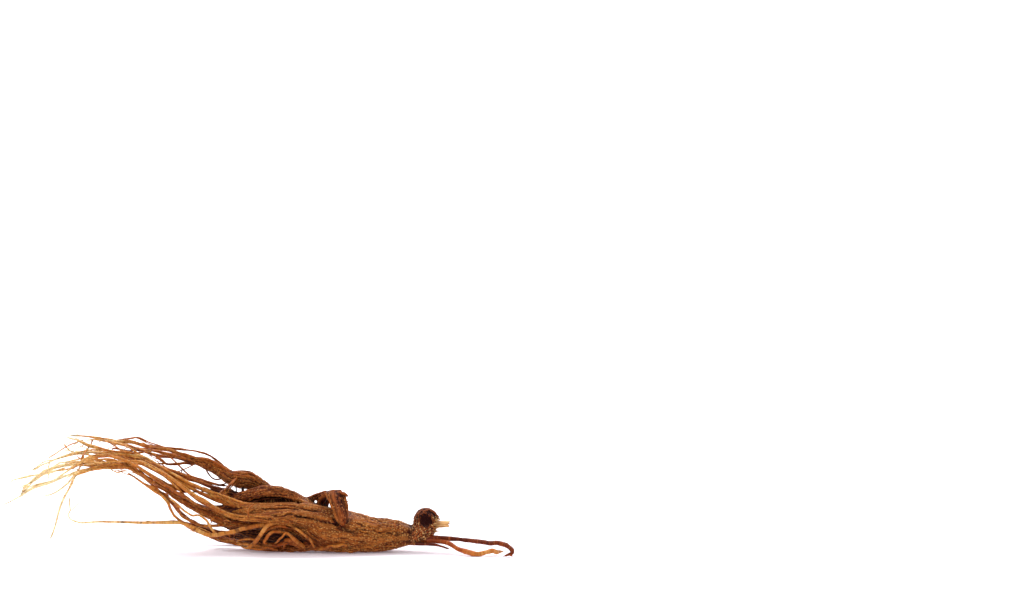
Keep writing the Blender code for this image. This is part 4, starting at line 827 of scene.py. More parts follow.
def fold_tree() -> Tree:
    """The tree that raises lengthwise folds, wrinkles and cross rings on a skin, along its grain."""
    tree = Tree("skin folds", {"Fold Depth": 0.5, "Fold Width": 2.3, "Fold Length": 26.0,
                               "Wrinkle Depth": 0.22, "Wrinkle Width": 0.85, "Wrinkle Length": 6.0,
                               "Ring Depth": 0.09, "Ring Step": 0.8, "Lump Depth": 0.5, "Lump Size": 6.5,
                               "Knob Depth": 1.3, "Knob Size": 1.5})
    net = tree.net
    grain, strength = tree.named("grain", "FLOAT_VECTOR"), tree.named("rough")
    parts = net.add("ShaderNodeSeparateXYZ", {0: grain}).outputs
    drift = net.math("MULTIPLY", net.math("SUBTRACT", net.noise(grain, 0.09, 1.0, 3.0), 0.5), 3.0)

    def streaks(length: object, width: object, seed: float, detail: float) -> bpy.types.NodeSocket:
        """Noise in streaks of a length and a width, that wander to the side."""
        place = net.add("ShaderNodeCombineXYZ", {
            0: net.math("DIVIDE", parts[0], length),
            1: net.math("DIVIDE", net.math("ADD", parts[1], drift), width),
            2: net.math("DIVIDE", net.math("ADD", parts[2], drift), width)}).outputs[0]
        return net.noise(place, 1.0, detail, seed)

    def ridged(value: bpy.types.NodeSocket) -> bpy.types.NodeSocket:
        """Noise turned into round ridges with sharp furrows between, about 0."""
        away = net.math("ABSOLUTE", net.math("SUBTRACT", value, 0.5))
        return net.math("SUBTRACT", net.math("MINIMUM", net.math("MULTIPLY", away, 5.0), 1.0), 0.6)

    fold = net.math("MULTIPLY", ridged(streaks(tree.size("Fold Length"), tree.size("Fold Width"), 1.0, 1.0)),
                    tree.size("Fold Depth"))
    wrinkle = net.math("MULTIPLY", ridged(streaks(tree.size("Wrinkle Length"), tree.size("Wrinkle Width"),
                                                  2.0, 1.0)), tree.size("Wrinkle Depth"))
    rings = net.math("MULTIPLY", net.math("SUBTRACT", streaks(tree.size("Ring Step"), 5.0, 3.0, 1.0), 0.5),
                     tree.size("Ring Depth"))
    where = net.add("GeometryNodeInputPosition").outputs[0]

    def lumps(size: object, depth: object, seed: float) -> bpy.types.NodeSocket:
        """Rounded lumps of a size and a depth."""
        scale = net.math("DIVIDE", 1.0, size)
        place = net.add("ShaderNodeVectorMath", {0: where, "Scale": scale}, operation="SCALE").outputs[0]
        return net.math("MULTIPLY", net.math("SUBTRACT", net.noise(place, 1.0, 2.0, seed), 0.5), depth)

    lump = lumps(tree.size("Lump Size"), tree.size("Lump Depth"), 5.0)
    knob = lumps(tree.size("Knob Size"), tree.size("Knob Depth"), 6.0)
    height = net.math("ADD", net.math("ADD", fold, wrinkle), net.math("ADD", rings, lump))
    height = net.math("ADD", net.math("MULTIPLY", height, strength),
                      net.math("MULTIPLY", knob, tree.named("scaly")))
    normal = net.add("GeometryNodeInputNormal").outputs[0]
    push = net.add("ShaderNodeVectorMath", {0: normal, "Scale": height}, operation="SCALE").outputs[0]
    moved = net.add("GeometryNodeSetPosition", {"Geometry": tree.geometry, "Offset": push})
    return tree.close(moved.outputs[0])


def sweep_tree() -> Tree:
    """The tree that turns lines into rootlets with folds along them."""
    tree = Tree("rootlet sweep", {"Sides": 10.0, "Fold Depth": 0.3, "Fold Width": 0.5, "Fold Length": 7.0,
                                  "Knot Depth": 0.2, "Knot Length": 1.6})
    net = tree.net
    line = net.add("GeometryNodeMeshToCurve", {"Mesh": tree.geometry}).outputs[0]
    circle = net.add("GeometryNodeCurvePrimitiveCircle", {"Resolution": tree.size("Sides"), "Radius": 1.0})
    place = net.add("GeometryNodeInputPosition").outputs[0]
    rim = net.add("GeometryNodeStoreNamedAttribute",
                  {"Geometry": circle.outputs[0], "Name": "around", "Value": place},
                  data_type="FLOAT_VECTOR", domain="POINT")
    swept = net.add("GeometryNodeCurveToMesh",
                    {"Curve": line, "Profile Curve": rim.outputs[0], "Scale": tree.named("radius"),
                     "Fill Caps": True}).outputs[0]
    radius = tree.named("radius")
    round_it = net.add("ShaderNodeSeparateXYZ", {
        0: net.add("ShaderNodeVectorMath", {0: tree.named("around", "FLOAT_VECTOR"), "Scale": radius},
                   operation="SCALE").outputs[0]}).outputs
    run = net.math("ADD", tree.named("run"), net.math("MULTIPLY", tree.named("strand"), 61.7))
    grain = net.add("ShaderNodeCombineXYZ", {0: run, 1: round_it[0], 2: round_it[1]}).outputs[0]
    kept = net.add("GeometryNodeStoreNamedAttribute", {"Geometry": swept, "Name": "grain", "Value": grain},
                   data_type="FLOAT_VECTOR", domain="POINT").outputs[0]
    parts = net.add("ShaderNodeSeparateXYZ", {0: tree.named("grain", "FLOAT_VECTOR")}).outputs
    streak = net.add("ShaderNodeCombineXYZ", {
        0: net.math("DIVIDE", parts[0], tree.size("Fold Length")),
        1: net.math("DIVIDE", parts[1], tree.size("Fold Width")),
        2: net.math("DIVIDE", parts[2], tree.size("Fold Width"))}).outputs[0]
    fold = net.math("MULTIPLY", net.math("SUBTRACT", net.noise(streak, 1.0, 1.0, 2.0), 0.5),
                    tree.size("Fold Depth"))
    knot_at = net.add("ShaderNodeCombineXYZ", {0: net.math("DIVIDE", parts[0], tree.size("Knot Length")),
                                               1: parts[1], 2: parts[2]}).outputs[0]
    knot = net.math("MULTIPLY", net.math("SUBTRACT", net.noise(knot_at, 1.0, 1.0, 4.0), 0.5),
                    tree.size("Knot Depth"))
    height = net.math("MULTIPLY", net.math("ADD", fold, knot), net.math("MINIMUM", radius, 1.0))
    normal = net.add("GeometryNodeInputNormal").outputs[0]
    push = net.add("ShaderNodeVectorMath", {0: normal, "Scale": net.math("MULTIPLY", height, 2.0)},
                   operation="SCALE").outputs[0]
    moved = net.add("GeometryNodeSetPosition", {"Geometry": kept, "Offset": push})
    return tree.close(moved.outputs[0])


def scatter_tree() -> Tree:
    """The tree that lays small dry scales on the faces of a skin."""
    tree = Tree("dry scales", {"Per Square": 1.4, "Smallest": 0.45, "Largest": 1.25, "Lean": 0.5,
                               "Cut": 0.5})
    net = tree.net
    chosen = net.math("GREATER_THAN", tree.named("scaly"), tree.size("Cut"))
    spread = net.add("GeometryNodeDistributePointsOnFaces",
                     {"Mesh": tree.geometry, "Selection": chosen, "Density": tree.size("Per Square"),
                      "Seed": 5})
    leaf = net.add("GeometryNodeMeshGrid", {"Size X": 1.0, "Size Y": 0.62, "Vertices X": 6, "Vertices Y": 5})
    place = net.add("ShaderNodeSeparateXYZ", {0: net.add("GeometryNodeInputPosition").outputs[0]}).outputs
    width = net.math("MULTIPLY", place[0], place[0])
    curl = net.math("ADD", net.math("MULTIPLY", width, -0.9), net.math("MULTIPLY", place[1], 0.35))
    narrow = net.math("SUBTRACT", 1.0, net.math("MULTIPLY", width, 2.6))
    shaped = net.add("ShaderNodeCombineXYZ", {0: place[0], 1: net.math("MULTIPLY", place[1], narrow), 2: curl})
    bent = net.add("GeometryNodeSetPosition", {"Geometry": leaf.outputs[0], "Position": shaped.outputs[0]})
    thick = net.add("GeometryNodeExtrudeMesh", {"Mesh": bent.outputs[0], "Offset Scale": 0.05,
                                                "Individual": False})
    both = net.add("GeometryNodeJoinGeometry")
    net.tree.links.new(thick.outputs[0], both.inputs[0])
    flipped = net.add("GeometryNodeFlipFaces", {"Mesh": bent.outputs[0]})
    net.tree.links.new(flipped.outputs[0], both.inputs[0])
    closed = net.add("GeometryNodeMergeByDistance", {"Geometry": both.outputs[0], "Distance": 0.0005})
    tilt = net.add("FunctionNodeRandomValue", {"Min": (-0.5, -0.5, -3.1), "Max": (0.5, 0.5, 3.1), "Seed": 3},
                   data_type="FLOAT_VECTOR").outputs[0]
    turned = net.add("FunctionNodeRotateRotation",
                     {"Rotation": spread.outputs["Rotation"],
                      "Rotate By": net.add("FunctionNodeEulerToRotation", {0: tilt}).outputs[0]},
                     rotation_space="LOCAL")
    size = net.add("FunctionNodeRandomValue", {2: tree.size("Smallest"), 3: tree.size("Largest"), "Seed": 9},
                   data_type="FLOAT").outputs[1]
    laid = net.add("GeometryNodeInstanceOnPoints",
                   {"Points": spread.outputs["Points"], "Instance": closed.outputs[0],
                    "Rotation": turned.outputs[0], "Scale": size})
    return tree.close(laid.outputs[0])


@dataclass(frozen=True)
class Crease:
    """A furrow in the side that is seen, or with a depth below 0 a ridge on it.

    Attributes:
        route: Where it runs, as rows of across and up.
        depth: How far it goes in at its middle.
        width: How far it reaches to each side.
    """

    route: tuple[tuple[float, float], ...]
    depth: float
    width: float

    def push(self, seen: Array) -> Array:
        """How far each place that is seen goes in."""
        rows = along_curve(np.array(self.route, float), 60)
        apart = seen[:, None, :] - rows[None, :, :]
        near = np.sqrt((apart ** 2).sum(2))
        which = near.argmin(1)
        share = which / (len(rows) - 1)
        fade = np.minimum(1, np.minimum(share, 1 - share) * 6 + 0.15)
        gone = np.clip(1 - near.min(1) / (self.width * fade), 0, 1)
        return self.depth * fade * gone * gone * (3 - 2 * gone)


def smoothed(values: Array, edges: Array, times: int) -> Array:
    """Values at points after each has gone halfway to its neighbours' mean, some times over."""
    count = len(values)
    near = np.bincount(edges.ravel(), minlength=count)[:, None]
    for _ in range(times):
        total = np.zeros_like(values)
        for column in range(values.shape[1]):
            total[:, column] += np.bincount(edges[:, 0], values[edges[:, 1], column], count)
            total[:, column] += np.bincount(edges[:, 1], values[edges[:, 0], column], count)
        values = (values + total / near) / 2
    return values


def edges_of(obj: bpy.types.Object) -> Array:
    """The pairs of points that the object's edges join."""
    flat = np.empty(len(obj.data.edges) * 2, np.int32)
    obj.data.edges.foreach_get("vertices", flat)
    return flat.reshape(-1, 2)


def normals_of(obj: bpy.types.Object) -> Array:
    """The directions that the object's points face."""
    flat = np.empty(len(obj.data.vertices) * 3, np.float32)
    obj.data.vertices.foreach_get("normal", flat)
    return flat.reshape(-1, 3).astype(float)


def finished(obj: bpy.types.Object, finish: bpy.types.Material, node: str) -> bpy.types.Object:
    """Bring a piece to its real size and hand it over to its CAD node's place.

    Args:
        obj: The piece, in millimetres.
        finish: Its material.
        node: The CAD node that it stands for.

    Returns:
        The piece.
    """
    obj.data.transform(Matrix.Scale(MM, 4))
    obj.data.materials.clear()
    obj.data.materials.append(finish)
    obj.data.shade_smooth()
    obj.data.update()
    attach(obj, "root")
    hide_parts(node)
    log.info("%s: %d triangles", obj.name, sum(len(p.vertices) - 2 for p in obj.data.polygons))
    return obj


@dataclass
class MainRoot:
    """The main root with its neck, its arm and its thick legs, in one wrinkled skin.

    Attributes:
        body: Rows of across, up, depth, half height and half width.
        sides: How many sides the body has before its skin is made fine.
        spacing: The distance between its rings.
        cell: The size of the fine skin's squares.
        scar: The middle of the hollow that an old stem left in the neck.
        scar_radius: That hollow's radius.
        ruddy: How much redder than the body its parts are.
    """

    body: tuple[tuple[float, float, float, float, float], ...] = (
        (31.0, 6.8, 0.0, 3.7, 3.7), (28.5, 6.8, 0, 4.2, 4.3), (25.0, 7.0, 0, 5.4, 5.6),
        (21.0, 7.0, 0, 6.5, 6.8), (16.0, 6.8, 0, 7.1, 7.8), (10.0, 7.2, 0, 7.7, 8.6),
        (4.0, 7.9, 0, 8.6, 9.2), (-2.0, 8.3, 0, 9.1, 9.5), (-7.0, 9.0, 0, 9.1, 9.4),
        (-10.5, 11.0, 0.4, 9.1, 9.1), (-14.0, 13.2, 1.0, 9.2, 8.6), (-21.0, 15.0, 2.4, 8.6, 7.4), (-28.0, 16.2, 3.8, 7.6, 6.2),
        (-34.0, 17.0, 4.8, 5.8, 4.8), (-39.0, 17.6, 5.0, 3.2, 2.8))
    sides: int = 72
    spacing: float = 0.8
    leg_sides: int = 28
    cell: float = 0.352
    folds: int = 7
    fold_depth: float = 0.045
    lump_depth: float = 0.05
    lump_size: float = 9.0
    scar: tuple[float, float, float] = (36.6, -6.2, 14.5)
    scar_radius: float = 4.3
    arm_widths: tuple[tuple[float, float], ...] = ((1.1, 2.6), (1.9, 1.4), (1.0, 1.0), (1.0, 1.0), (1.0, 1.0), (1.0, 1.0))
    ruddy: dict[str, float] = field(default_factory=lambda: {
        "neck": 0.6, "cap": 0.8, "collar": 0.1, "arm": 0.55, "fold": 0.8, "flap": 0.5, "tatter": 0.5, "foot": 0.35,
        "top_leg": 0.35, "back_leg": 0.15, "front_leg": 0.3, "rim": 0.2})
    creases: tuple[Crease, ...] = (
        Crease(((-18.7, 14.6), (-15, 14.5), (-10.9, 13), (-3, 11.4), (2.7, 8.9), (8, 7)), 0.7, 1.9),
        Crease(((-10.9, 13.2), (-3, 11.5), (2.7, 9), (8, 7.2)), 0.35, 0.7),
        Crease(((-38, 20.3), (-34, 20.6), (-29, 21.4), (-24, 21.2), (-18, 20.8), (-15, 20.2)), 2.6, 1.25),
        Crease(((-18.8, 14.9), (-15.5, 14.5), (-12, 13.6), (-10, 13)), 1.3, 0.9),
        Crease(((-36, 12.9), (-33, 13.1), (-30, 12.7), (-27.5, 13.2)), 0.9, 0.8),
        Crease(((-33, 17.6), (-28, 17.4), (-22, 17.9), (-16, 17.2)), 0.6, 0.7),
        Crease(((-27, 19), (-20, 18.9), (-13, 17), (-8, 16.4)), 0.45, 0.6),
        Crease(((-29, 15.2), (-24, 14.6), (-21, 15.6), (-18.8, 15.4)), 0.6, 0.7),
        Crease(((-2.8, 14.5), (-1.9, 12), (-0.8, 10)), 0.9, 0.7),
        Crease(((-2, 6.6), (1, 5.2), (5, 4.6), (12, 2.6)), 0.35, 1.0),
        Crease(((5, 12.6), (10, 10.4), (14, 9.9), (21, 7.4), (26, 6.4)), 0.3, 0.9),
        Crease(((29.2, 11), (28.7, 7), (28.9, 2.8)), 0.12, 1.2),
    )

    def body_rings(self) -> tuple[Array, Array]:
        """The body's middle line, with its half height and half width beside it, and its rings."""
        rows = np.array([(*EYE.laid(x, z, y), h, w) for x, z, y, h, w in self.body])
        count = round((rows[0, 0] - rows[-1, 0]) / self.spacing)
        spine = along_curve(rows, count)
        angles = np.linspace(0, 2 * math.pi, self.sides, endpoint=False)
        rings = []
        for across, depth, up, high, wide in spine:
            wander = 0.8 * math.sin(across / 17.0)
            lumps = np.array([noise.noise(Vector((across / self.lump_size, 1.7 * math.cos(a), 1.7 * math.sin(a))))
                              for a in angles])
            reach = 1 + self.fold_depth * np.cos(self.folds * angles + wander) + self.lump_depth * lumps
            rings.append(np.stack([np.full(self.sides, across), depth - wide * reach * np.cos(angles),
                                   up + high * reach * np.sin(angles)], axis=1))
        return spine, np.array(rings)

    def leg_skin(self, limb: Limb, seed: int, widths: tuple[float, float]) -> tuple[Trace, tuple]:
        """A leg's line, and its smooth skin.

        Args:
            limb: The leg.
            seed: Which lumps it has.
            widths: How much broader than high it is at its start and its tip.

        Returns:
            The leg followed along, and the points and faces of its skin.
        """
        trace = limb.traced(self.spacing)
        broad = np.linspace(*widths, len(trace.line))

        def reach(i: int, angles: Array) -> tuple[Array, Array]:
            """The reach of a ring, with folds that wind round it."""
            fold = 0.09 * np.cos(3 * angles + 0.35 * i * self.spacing / 3 + seed)
            lumps = np.array([noise.noise(Vector((trace.line[i][0] / self.lump_size, a, seed * 3.7)))
                              for a in angles])
            out = trace.radius[i] * (1 + fold + 0.1 * lumps)
            return out * broad[i], out

        return trace, tube(trace.line, self.leg_sides, reach)

    def made(self, tree: Tree, finish: bpy.types.Material) -> bpy.types.Object:
        """Build the skin, wrinkle it and measure what its finish follows.

        Args:
            tree: The tree of folds.
            finish: The skin's material.

        Returns:
            The piece, in millimetres.
        """
        spine, rings = self.body_rings()
        past = (spine[0, :3] - spine[1, :3]) * 0.25
        parts = [skin_of(rings[:, ::-1], spine[0, :3] + past, spine[-1, :3])]
        traces = []
        limbs = [(limb, (1.0, 1.0)) for limb in NECK + LEGS] + list(zip(ARM, self.arm_widths))
        for seed, (limb, widths) in enumerate(limbs):
            trace, skin = self.leg_skin(limb, seed, widths)
            traces.append(trace)
            parts.append(skin)
        points, faces, past_points = [], [], 0
        for some, their_faces in parts:
            points.append(some)
            faces += [tuple(i + past_points for i in face) for face in their_faces]
            past_points += len(some)
        root = object_from("main_root", np.vstack(points), faces)
        cells = root.modifiers.new("fine skin", "REMESH")
        cells.mode = "VOXEL"
        cells.voxel_size = self.cell
        cells.use_smooth_shade = True
        ease = root.modifiers.new("ease", "SMOOTH")
        ease.factor, ease.iterations = 0.5, 3
        baked(root)
        self.measure(root, spine, traces, [limb.name for limb, _ in limbs])
        self.carve(root)
        tree.put_on(root, finish, {"Fold Depth": 0.5, "Wrinkle Depth": 0.46, "Ring Depth": 0.24,
                                   "Lump Depth": 0.7})
        self.settle(root)
        return root

    def measure(self, root: bpy.types.Object, spine: Array, traces: list[Trace], names: list[str]) -> None:
        """Give each point the limb's grain, tone, roughness and flecks.

        Args:
            root: The skin.
            spine: The body's middle line with its half sizes.
            traces: The legs' lines.
            names: The legs' names.
        """
        points = points_of(root)
        count = len(points)
        order = spine[::-1]
        middle = np.stack([np.interp(points[:, 0], order[:, 0], order[:, k]) for k in range(1, 5)], axis=1)
        off = points[:, 1:] - middle[:, :2]
        rho = np.sqrt((off[:, 0] / middle[:, 3]) ** 2 + (off[:, 1] / middle[:, 2]) ** 2)
        beyond = np.maximum(0, np.maximum(points[:, 0] - order[-1, 0], order[0, 0] - points[:, 0]))
        apart = [(rho - 1) * middle[:, 2:].min(1) + beyond]
        grains = [np.column_stack([-points[:, 0], off])]
        body_tone = np.interp(points[:, 0], (-30, -12, 2, 20, 31), (0.45, 0.51, 0.5, 0.48, 0.3))
        body_tone -= 0.06 * np.clip((points[:, 2] - middle[:, 1]) / middle[:, 2], 0, 1)
        tones = [body_tone]
        for number, trace in enumerate(traces):
            best = np.full(count, 1e9)
            which = np.zeros(count, int)
            for i, centre in enumerate(trace.line):
                far = np.sqrt(((points - centre) ** 2).sum(1)) - trace.radius[i]
                closer = far < best
                best[closer], which[closer] = far[closer], i
            away = points - trace.line[which]
            ahead, across, upward = carried_frames(trace.line)
            run = trace.run[which] + (away * ahead[which]).sum(1)
            grains.append(np.column_stack([run + 40 * (number + 1), (away * across[which]).sum(1),
                                           (away * upward[which]).sum(1)]))
            apart.append(best)
            tones.append(trace.tone[which])
        apart, tones = np.array(apart), np.array(tones)
        chosen = apart.argmin(0)
        ranked = np.sort(apart, axis=0)
        share = np.exp(-(apart - ranked[0]) / 0.7)
        tone = (share * tones).sum(0) / share.sum(0)
        grain = np.array(grains)[chosen, np.arange(count)]
        # Limbs that lie in shade: they get painted shade as a dim tint, and no flecks.
        shaded = ("inner_leg", "core_leg", "web_leg", "lower_leg", "fold", "cap")
        is_shaded = np.isin(chosen, [1 + names.index(name) for name in shaded])
        is_neck = np.isin(chosen, [1 + names.index(n) for n in ("neck", "cap", "collar")])
        # Painted shade: darker low down on the body's left part, and low on its front near the curls, where it also has
        # fewer flecks.
        under = np.clip((10.5 - points[:, 2]) / 3, 0, 1) * np.clip((-11 - points[:, 0]) / 5, 0, 1)
        low_front_shade = np.exp(-((points[:, 0] + 10) / 7) ** 2 - ((points[:, 2] - 5) / 3.4) ** 2) * (points[:, 1] < 0)
        give(root, "grain", grain)
        tone = np.where(is_neck, np.interp(points[:, 2], (6, 11, 13.5, 15.5), (0.22, 0.2, -0.02, -0.12)), tone)
        give(root, "tone", np.maximum(-0.05, tone - 0.2 * low_front_shade - 0.1 * under))
        # Painted shade in the recess behind the curls.
        inner = np.clip((7 - points[:, 1]) / 4, 0, 1) * np.interp(points[:, 0], (-54, -46, -17, -11), (0, 1, 1, 0))
        dusk = smoothed(np.where(is_shaded & ~is_neck, inner, 0.0)[:, None], edges_of(root), 8)
        give(root, "dusk", dusk[:, 0])
        ruddy = np.full(count, 0.1)
        for name, amount in self.ruddy.items():
            ruddy[chosen == 1 + names.index(name)] = amount
        give(root, "ruddy", smoothed(ruddy[:, None], edges_of(root), 10)[:, 0])
        clear = np.clip((ranked[1] - ranked[0]) / 2.4, 0, 1)
        flat = np.where(np.isin(chosen, [1 + names.index(n) for n in ("arm", "foot")]), 0.5, 1.0)
        give(root, "rough", clear * clear * (3 - 2 * clear) * (1 - 0.7 * low_front_shade) * (1 - 0.6 * dusk[:, 0]) * flat)
        fleck = np.where(chosen == 0, 1.0, 0.75) * (1 - 0.8 * low_front_shade)
        fleck = np.where(is_neck, np.clip((13 - points[:, 2]) / 4, 0, 1), fleck)
        fleck[is_shaded] = 0
        give(root, "fleck", fleck)
        grit = np.zeros(count)
        for name, amount in (("back_leg", 0.5), ("top_leg", 0.5), ("fold", 0.2), ("hairy_leg", 0.25)):
            grit[chosen == 1 + names.index(name)] = amount
        knobs = np.interp(points[:, 2], (11, 15), (1.0, 0.5))
        give(root, "scaly", np.where(is_neck, knobs, smoothed(grit[:, None], edges_of(root), 6)[:, 0]))

    def carve(self, root: bpy.types.Object) -> None:
        """Press the named furrows into the side that is seen, and the old scar into the neck; darken the deepest
        furrows as painted shade, and darken the scar's hollow.
        """
        points, normals = points_of(root), normals_of(root)
        seen = np.column_stack([points[:, 0] + points[:, 1] * (EYE.across - points[:, 0]) / EYE.away,
                                points[:, 2] + points[:, 1] * EYE.rise])
        facing = np.clip(-normals[:, 1] * 1.6, 0, 1) * (points[:, 1] < 2)
        deep = np.zeros(len(points))
        for crease in self.creases:
            push = crease.push(seen) * facing
            points -= normals * push[:, None]
            deep += push
        centre = np.array(self.scar)
        away = points - centre
        far = np.linalg.norm(away, axis=1)
        inside = far < self.scar_radius
        points[inside] = centre + away[inside] / far[inside][:, None] * self.scar_radius
        tone = np.empty(len(points), np.float32)
        root.data.attributes["tone"].data.foreach_get("value", tone)
        # Painted shade: the deepest pressed furrows darkened.
        tone -= 0.3 * np.clip(deep / 1.4, 0, 1)
        lit = np.clip((far - self.scar_radius - 0.3) / 1.7, 0, 1)
        tone = tone * lit - 0.12 * (1 - lit)
        give(root, "tone", tone)
        scaly = np.empty(len(points), np.float32)
        root.data.attributes["scaly"].data.foreach_get("value", scaly)
        give(root, "scaly", np.where(far < self.scar_radius + 0.25, 0.4, scaly))
        set_points(root, points)

    def settle(self, root: bpy.types.Object) -> None:
        """Flatten the belly on what it lies on, and mark creases and ridges, which the skin paints with shade and
        partly with highlight.
        """
        points = points_of(root)
        points[:, 2] = np.maximum(points[:, 2], 0.0)
        set_points(root, points)
        edges, normals = edges_of(root), normals_of(root)
        near = smoothed(points, edges, 5)
        wide = smoothed(near, edges, 60)
        fine = ((near - points) * normals).sum(1) / 0.05
        coarse = ((wide - points) * normals).sum(1) / 0.4
        give(root, "cavity", np.clip(0.55 * fine + 0.65 * coarse, -1, 1))


@dataclass
class Rootlets:
    """Thin rootlets that sweep up and away from the legs.

    Attributes:
        step: The distance between a rootlet's rings.
        kink: How far a rootlet strays in small bends.
        thinnest: The least radius of a rootlet.
        companions: How many more run behind and beside the seen ones.
        fellows: How many thinner strands go with each strand of the sheaf.
        on_legs: How many strands cling to a leg, and the row of its route that they start from.
        crossings: How many thin strands cross from one rootlet to the next.
        pairs: Which rootlets they cross between.
    """

    step: float = 0.84
    kink: float = 0.6
    thinnest: float = 0.17
    companions: int = 6
    seed: int = 11
    fellows: int = 3
    crossings: int = 36
    pairs: tuple[tuple[str, str], ...] = (
        ("sheaf_a", "sheaf_e"), ("sheaf_a", "sheaf_b"), ("sheaf_b", "sheaf_d"), ("sheaf_d", "sheaf_c"),
        ("sheaf_c", "sheaf_g"), ("sheaf_g", "sheaf_b"), ("sheaf_e", "top_b"), ("top_a", "top_b"),
        ("sheaf_f", "sheaf_e"))
    on_legs: dict[str, tuple[int, int]] = field(default_factory=lambda: {
        "upper_leg": (7, 4), "middle_leg": (7, 4), "hairy_leg": (11, 2), "back_leg": (9, 3), "core_leg": (8, 1),
        "web_leg": (7, 2), "front_leg": (6, 3), "top_leg": (6, 3)})

    def beside(self) -> list[Limb]:
        """The rootlets that lie beside seen ones, drawn with a fixed seed."""
        parents = ("sheaf_a", "sheaf_b", "sheaf_c", "sheaf_e", "sheaf_f", "sheaf_g", "top_a", "top_b")
        draw = random.Random(self.seed)
        named = {limb.name: limb for limb in ROOTLETS}
        made = []
        for number in range(self.companions):
            parent = named[parents[number % len(parents)]]
            aside = draw.uniform(3.0, 8.0) * (-1) ** number
            start = draw.randint(1, 3)
            end = len(parent.route) - draw.randint(0, 3)
            lift = draw.uniform(-0.5, 0.5)
            shares = np.linspace(0, 1, end - start)
            rows = []
            for (x, z, y, _), share in zip(parent.route[start:end], shares):
                rows.append((x, z + lift * share, max(-14.5, y + aside * min(1, share / 0.6)),
                             float(np.interp(share, (0, 1), (0.5, 0.22)))))
            made.append(Limb(f"companion_{number}", (parent.tone[0] - 0.06, parent.tone[1] - 0.04), tuple(rows)))
        return made

    def bundled(self, limbs: Iterable[Limb]) -> list[Limb]:
        """Limbs of the sheaf as bundles of thinner strands, which part towards their tips.

        Args:
            limbs: Rootlets of the sheaf.

        Returns:
            The thinner strands, some for each rootlet.
        """
        draw = random.Random(self.seed + 1)
        made = []
        for limb in limbs:
            rows = np.array(limb.route, float)
            share = np.linspace(0, 1, len(rows))
            slim = rows.copy()
            is_top = limb.name.startswith("top_")
            slim[:, 3] *= 0.85 if is_top else np.interp(share, (0, 0.5, 1), (0.62, 0.56, 0.6))
            made.append(Limb(limb.name, limb.tone, tuple(map(tuple, slim))))
            for number in range(2 if is_top else self.fellows):
                turn = draw.uniform(0, 2 * math.pi)
                first = draw.randint(0, 2)
                last = len(rows) - draw.randint(0, 2)
                mate = rows[first:last].copy()
                if len(mate) < 4:
                    continue
                some = np.linspace(0, 1, len(mate))
                apart = rows[first:last, 3] * np.interp(some, (0, 0.2, 0.75, 1), (0.5, 0.8, 0.55, draw.uniform(0.8, 2.2)))
                around = turn + some * draw.uniform(-4, 4)
                mate[:, 1] += apart * np.sin(around)
                mate[:, 2] += apart * np.cos(around)
                mate[:, 3] *= np.interp(some, (0, 1), (0.5, 0.42))
                shift = draw.uniform(-0.12, 0.1)
                tone = (limb.tone[0] + shift, min(1.0, limb.tone[1] + shift / 2))
                made.append(Limb(f"{limb.name}_{number}", tone, tuple(map(tuple, mate))))
        return made

    def crossing(self) -> list[Limb]:
        """Thin strands that cross from one rootlet of the sheaf to the next, drawn with a fixed seed."""
        draw = random.Random(self.seed + 3)
        routes = {limb.name: np.array(limb.route, float)[::-1] for limb in ROOTLETS}
        made = []
        for number in range(self.crossings):
            pair = list(self.pairs[number % len(self.pairs)])
            draw.shuffle(pair)
            begin, reach, thick = draw.uniform(-92, -56), draw.uniform(9, 24), draw.uniform(0.22, 0.42)
            front = draw.uniform(-1.4, 0.6)
            rows = []
            for share in np.linspace(-0.2, 1.2, 8):
                x = begin - reach * share
                part = min(1.0, max(0.0, share))
                part = part * part * (3 - 2 * part)
                (z_1, y_1), (z_2, y_2) = [[np.interp(x, routes[name][:, 0], routes[name][:, k]) for k in (1, 2)]
                                          for name in pair]
                rows.append((x, z_1 + (z_2 - z_1) * part, y_1 + (y_2 - y_1) * part + front,
                             thick * (1 - 0.25 * share)))
            tone = float(np.interp(begin, (-92, -56), (0.62, 0.4))) + draw.uniform(-0.12, 0.12)
            made.append(Limb(f"crossing_{number}", (tone, tone + 0.15), tuple(rows)))
        return made

    def clinging(self) -> list[Limb]:
        """Thin strands that run along the legs' skin, half sunk in it, drawn with a fixed seed."""
        draw = random.Random(self.seed + 2)
        made = []
        for limb in LEGS:
            count, first = self.on_legs.get(limb.name, (0, 0))
            rows = np.array(limb.route[first:], float)
            some = np.linspace(0, 1, len(rows))
            for number in range(count):
                around = 2 * math.pi * (number + draw.uniform(0.1, 0.9)) / count + some * draw.uniform(-1.4, 1.4)
                thick = draw.uniform(0.3, 0.52)
                out = rows[:, 3] * np.interp(some, (0, 0.2, 1), (0.66, 0.92, 0.9)) - 0.3 * thick
                strand = rows.copy()
                strand[:, 1] += out * np.sin(around)
                strand[:, 2] += out * np.cos(around)
                strand[:, 3] = thick * np.interp(some, (0, 0.3, 1), (0.6, 1.0, 0.75))
                tone = draw.uniform(-0.06, 0.14)
                made.append(Limb(f"{limb.name}_{number}", (limb.tone[0] + tone, limb.tone[1] + tone),
                                 tuple(map(tuple, strand))))
        return made

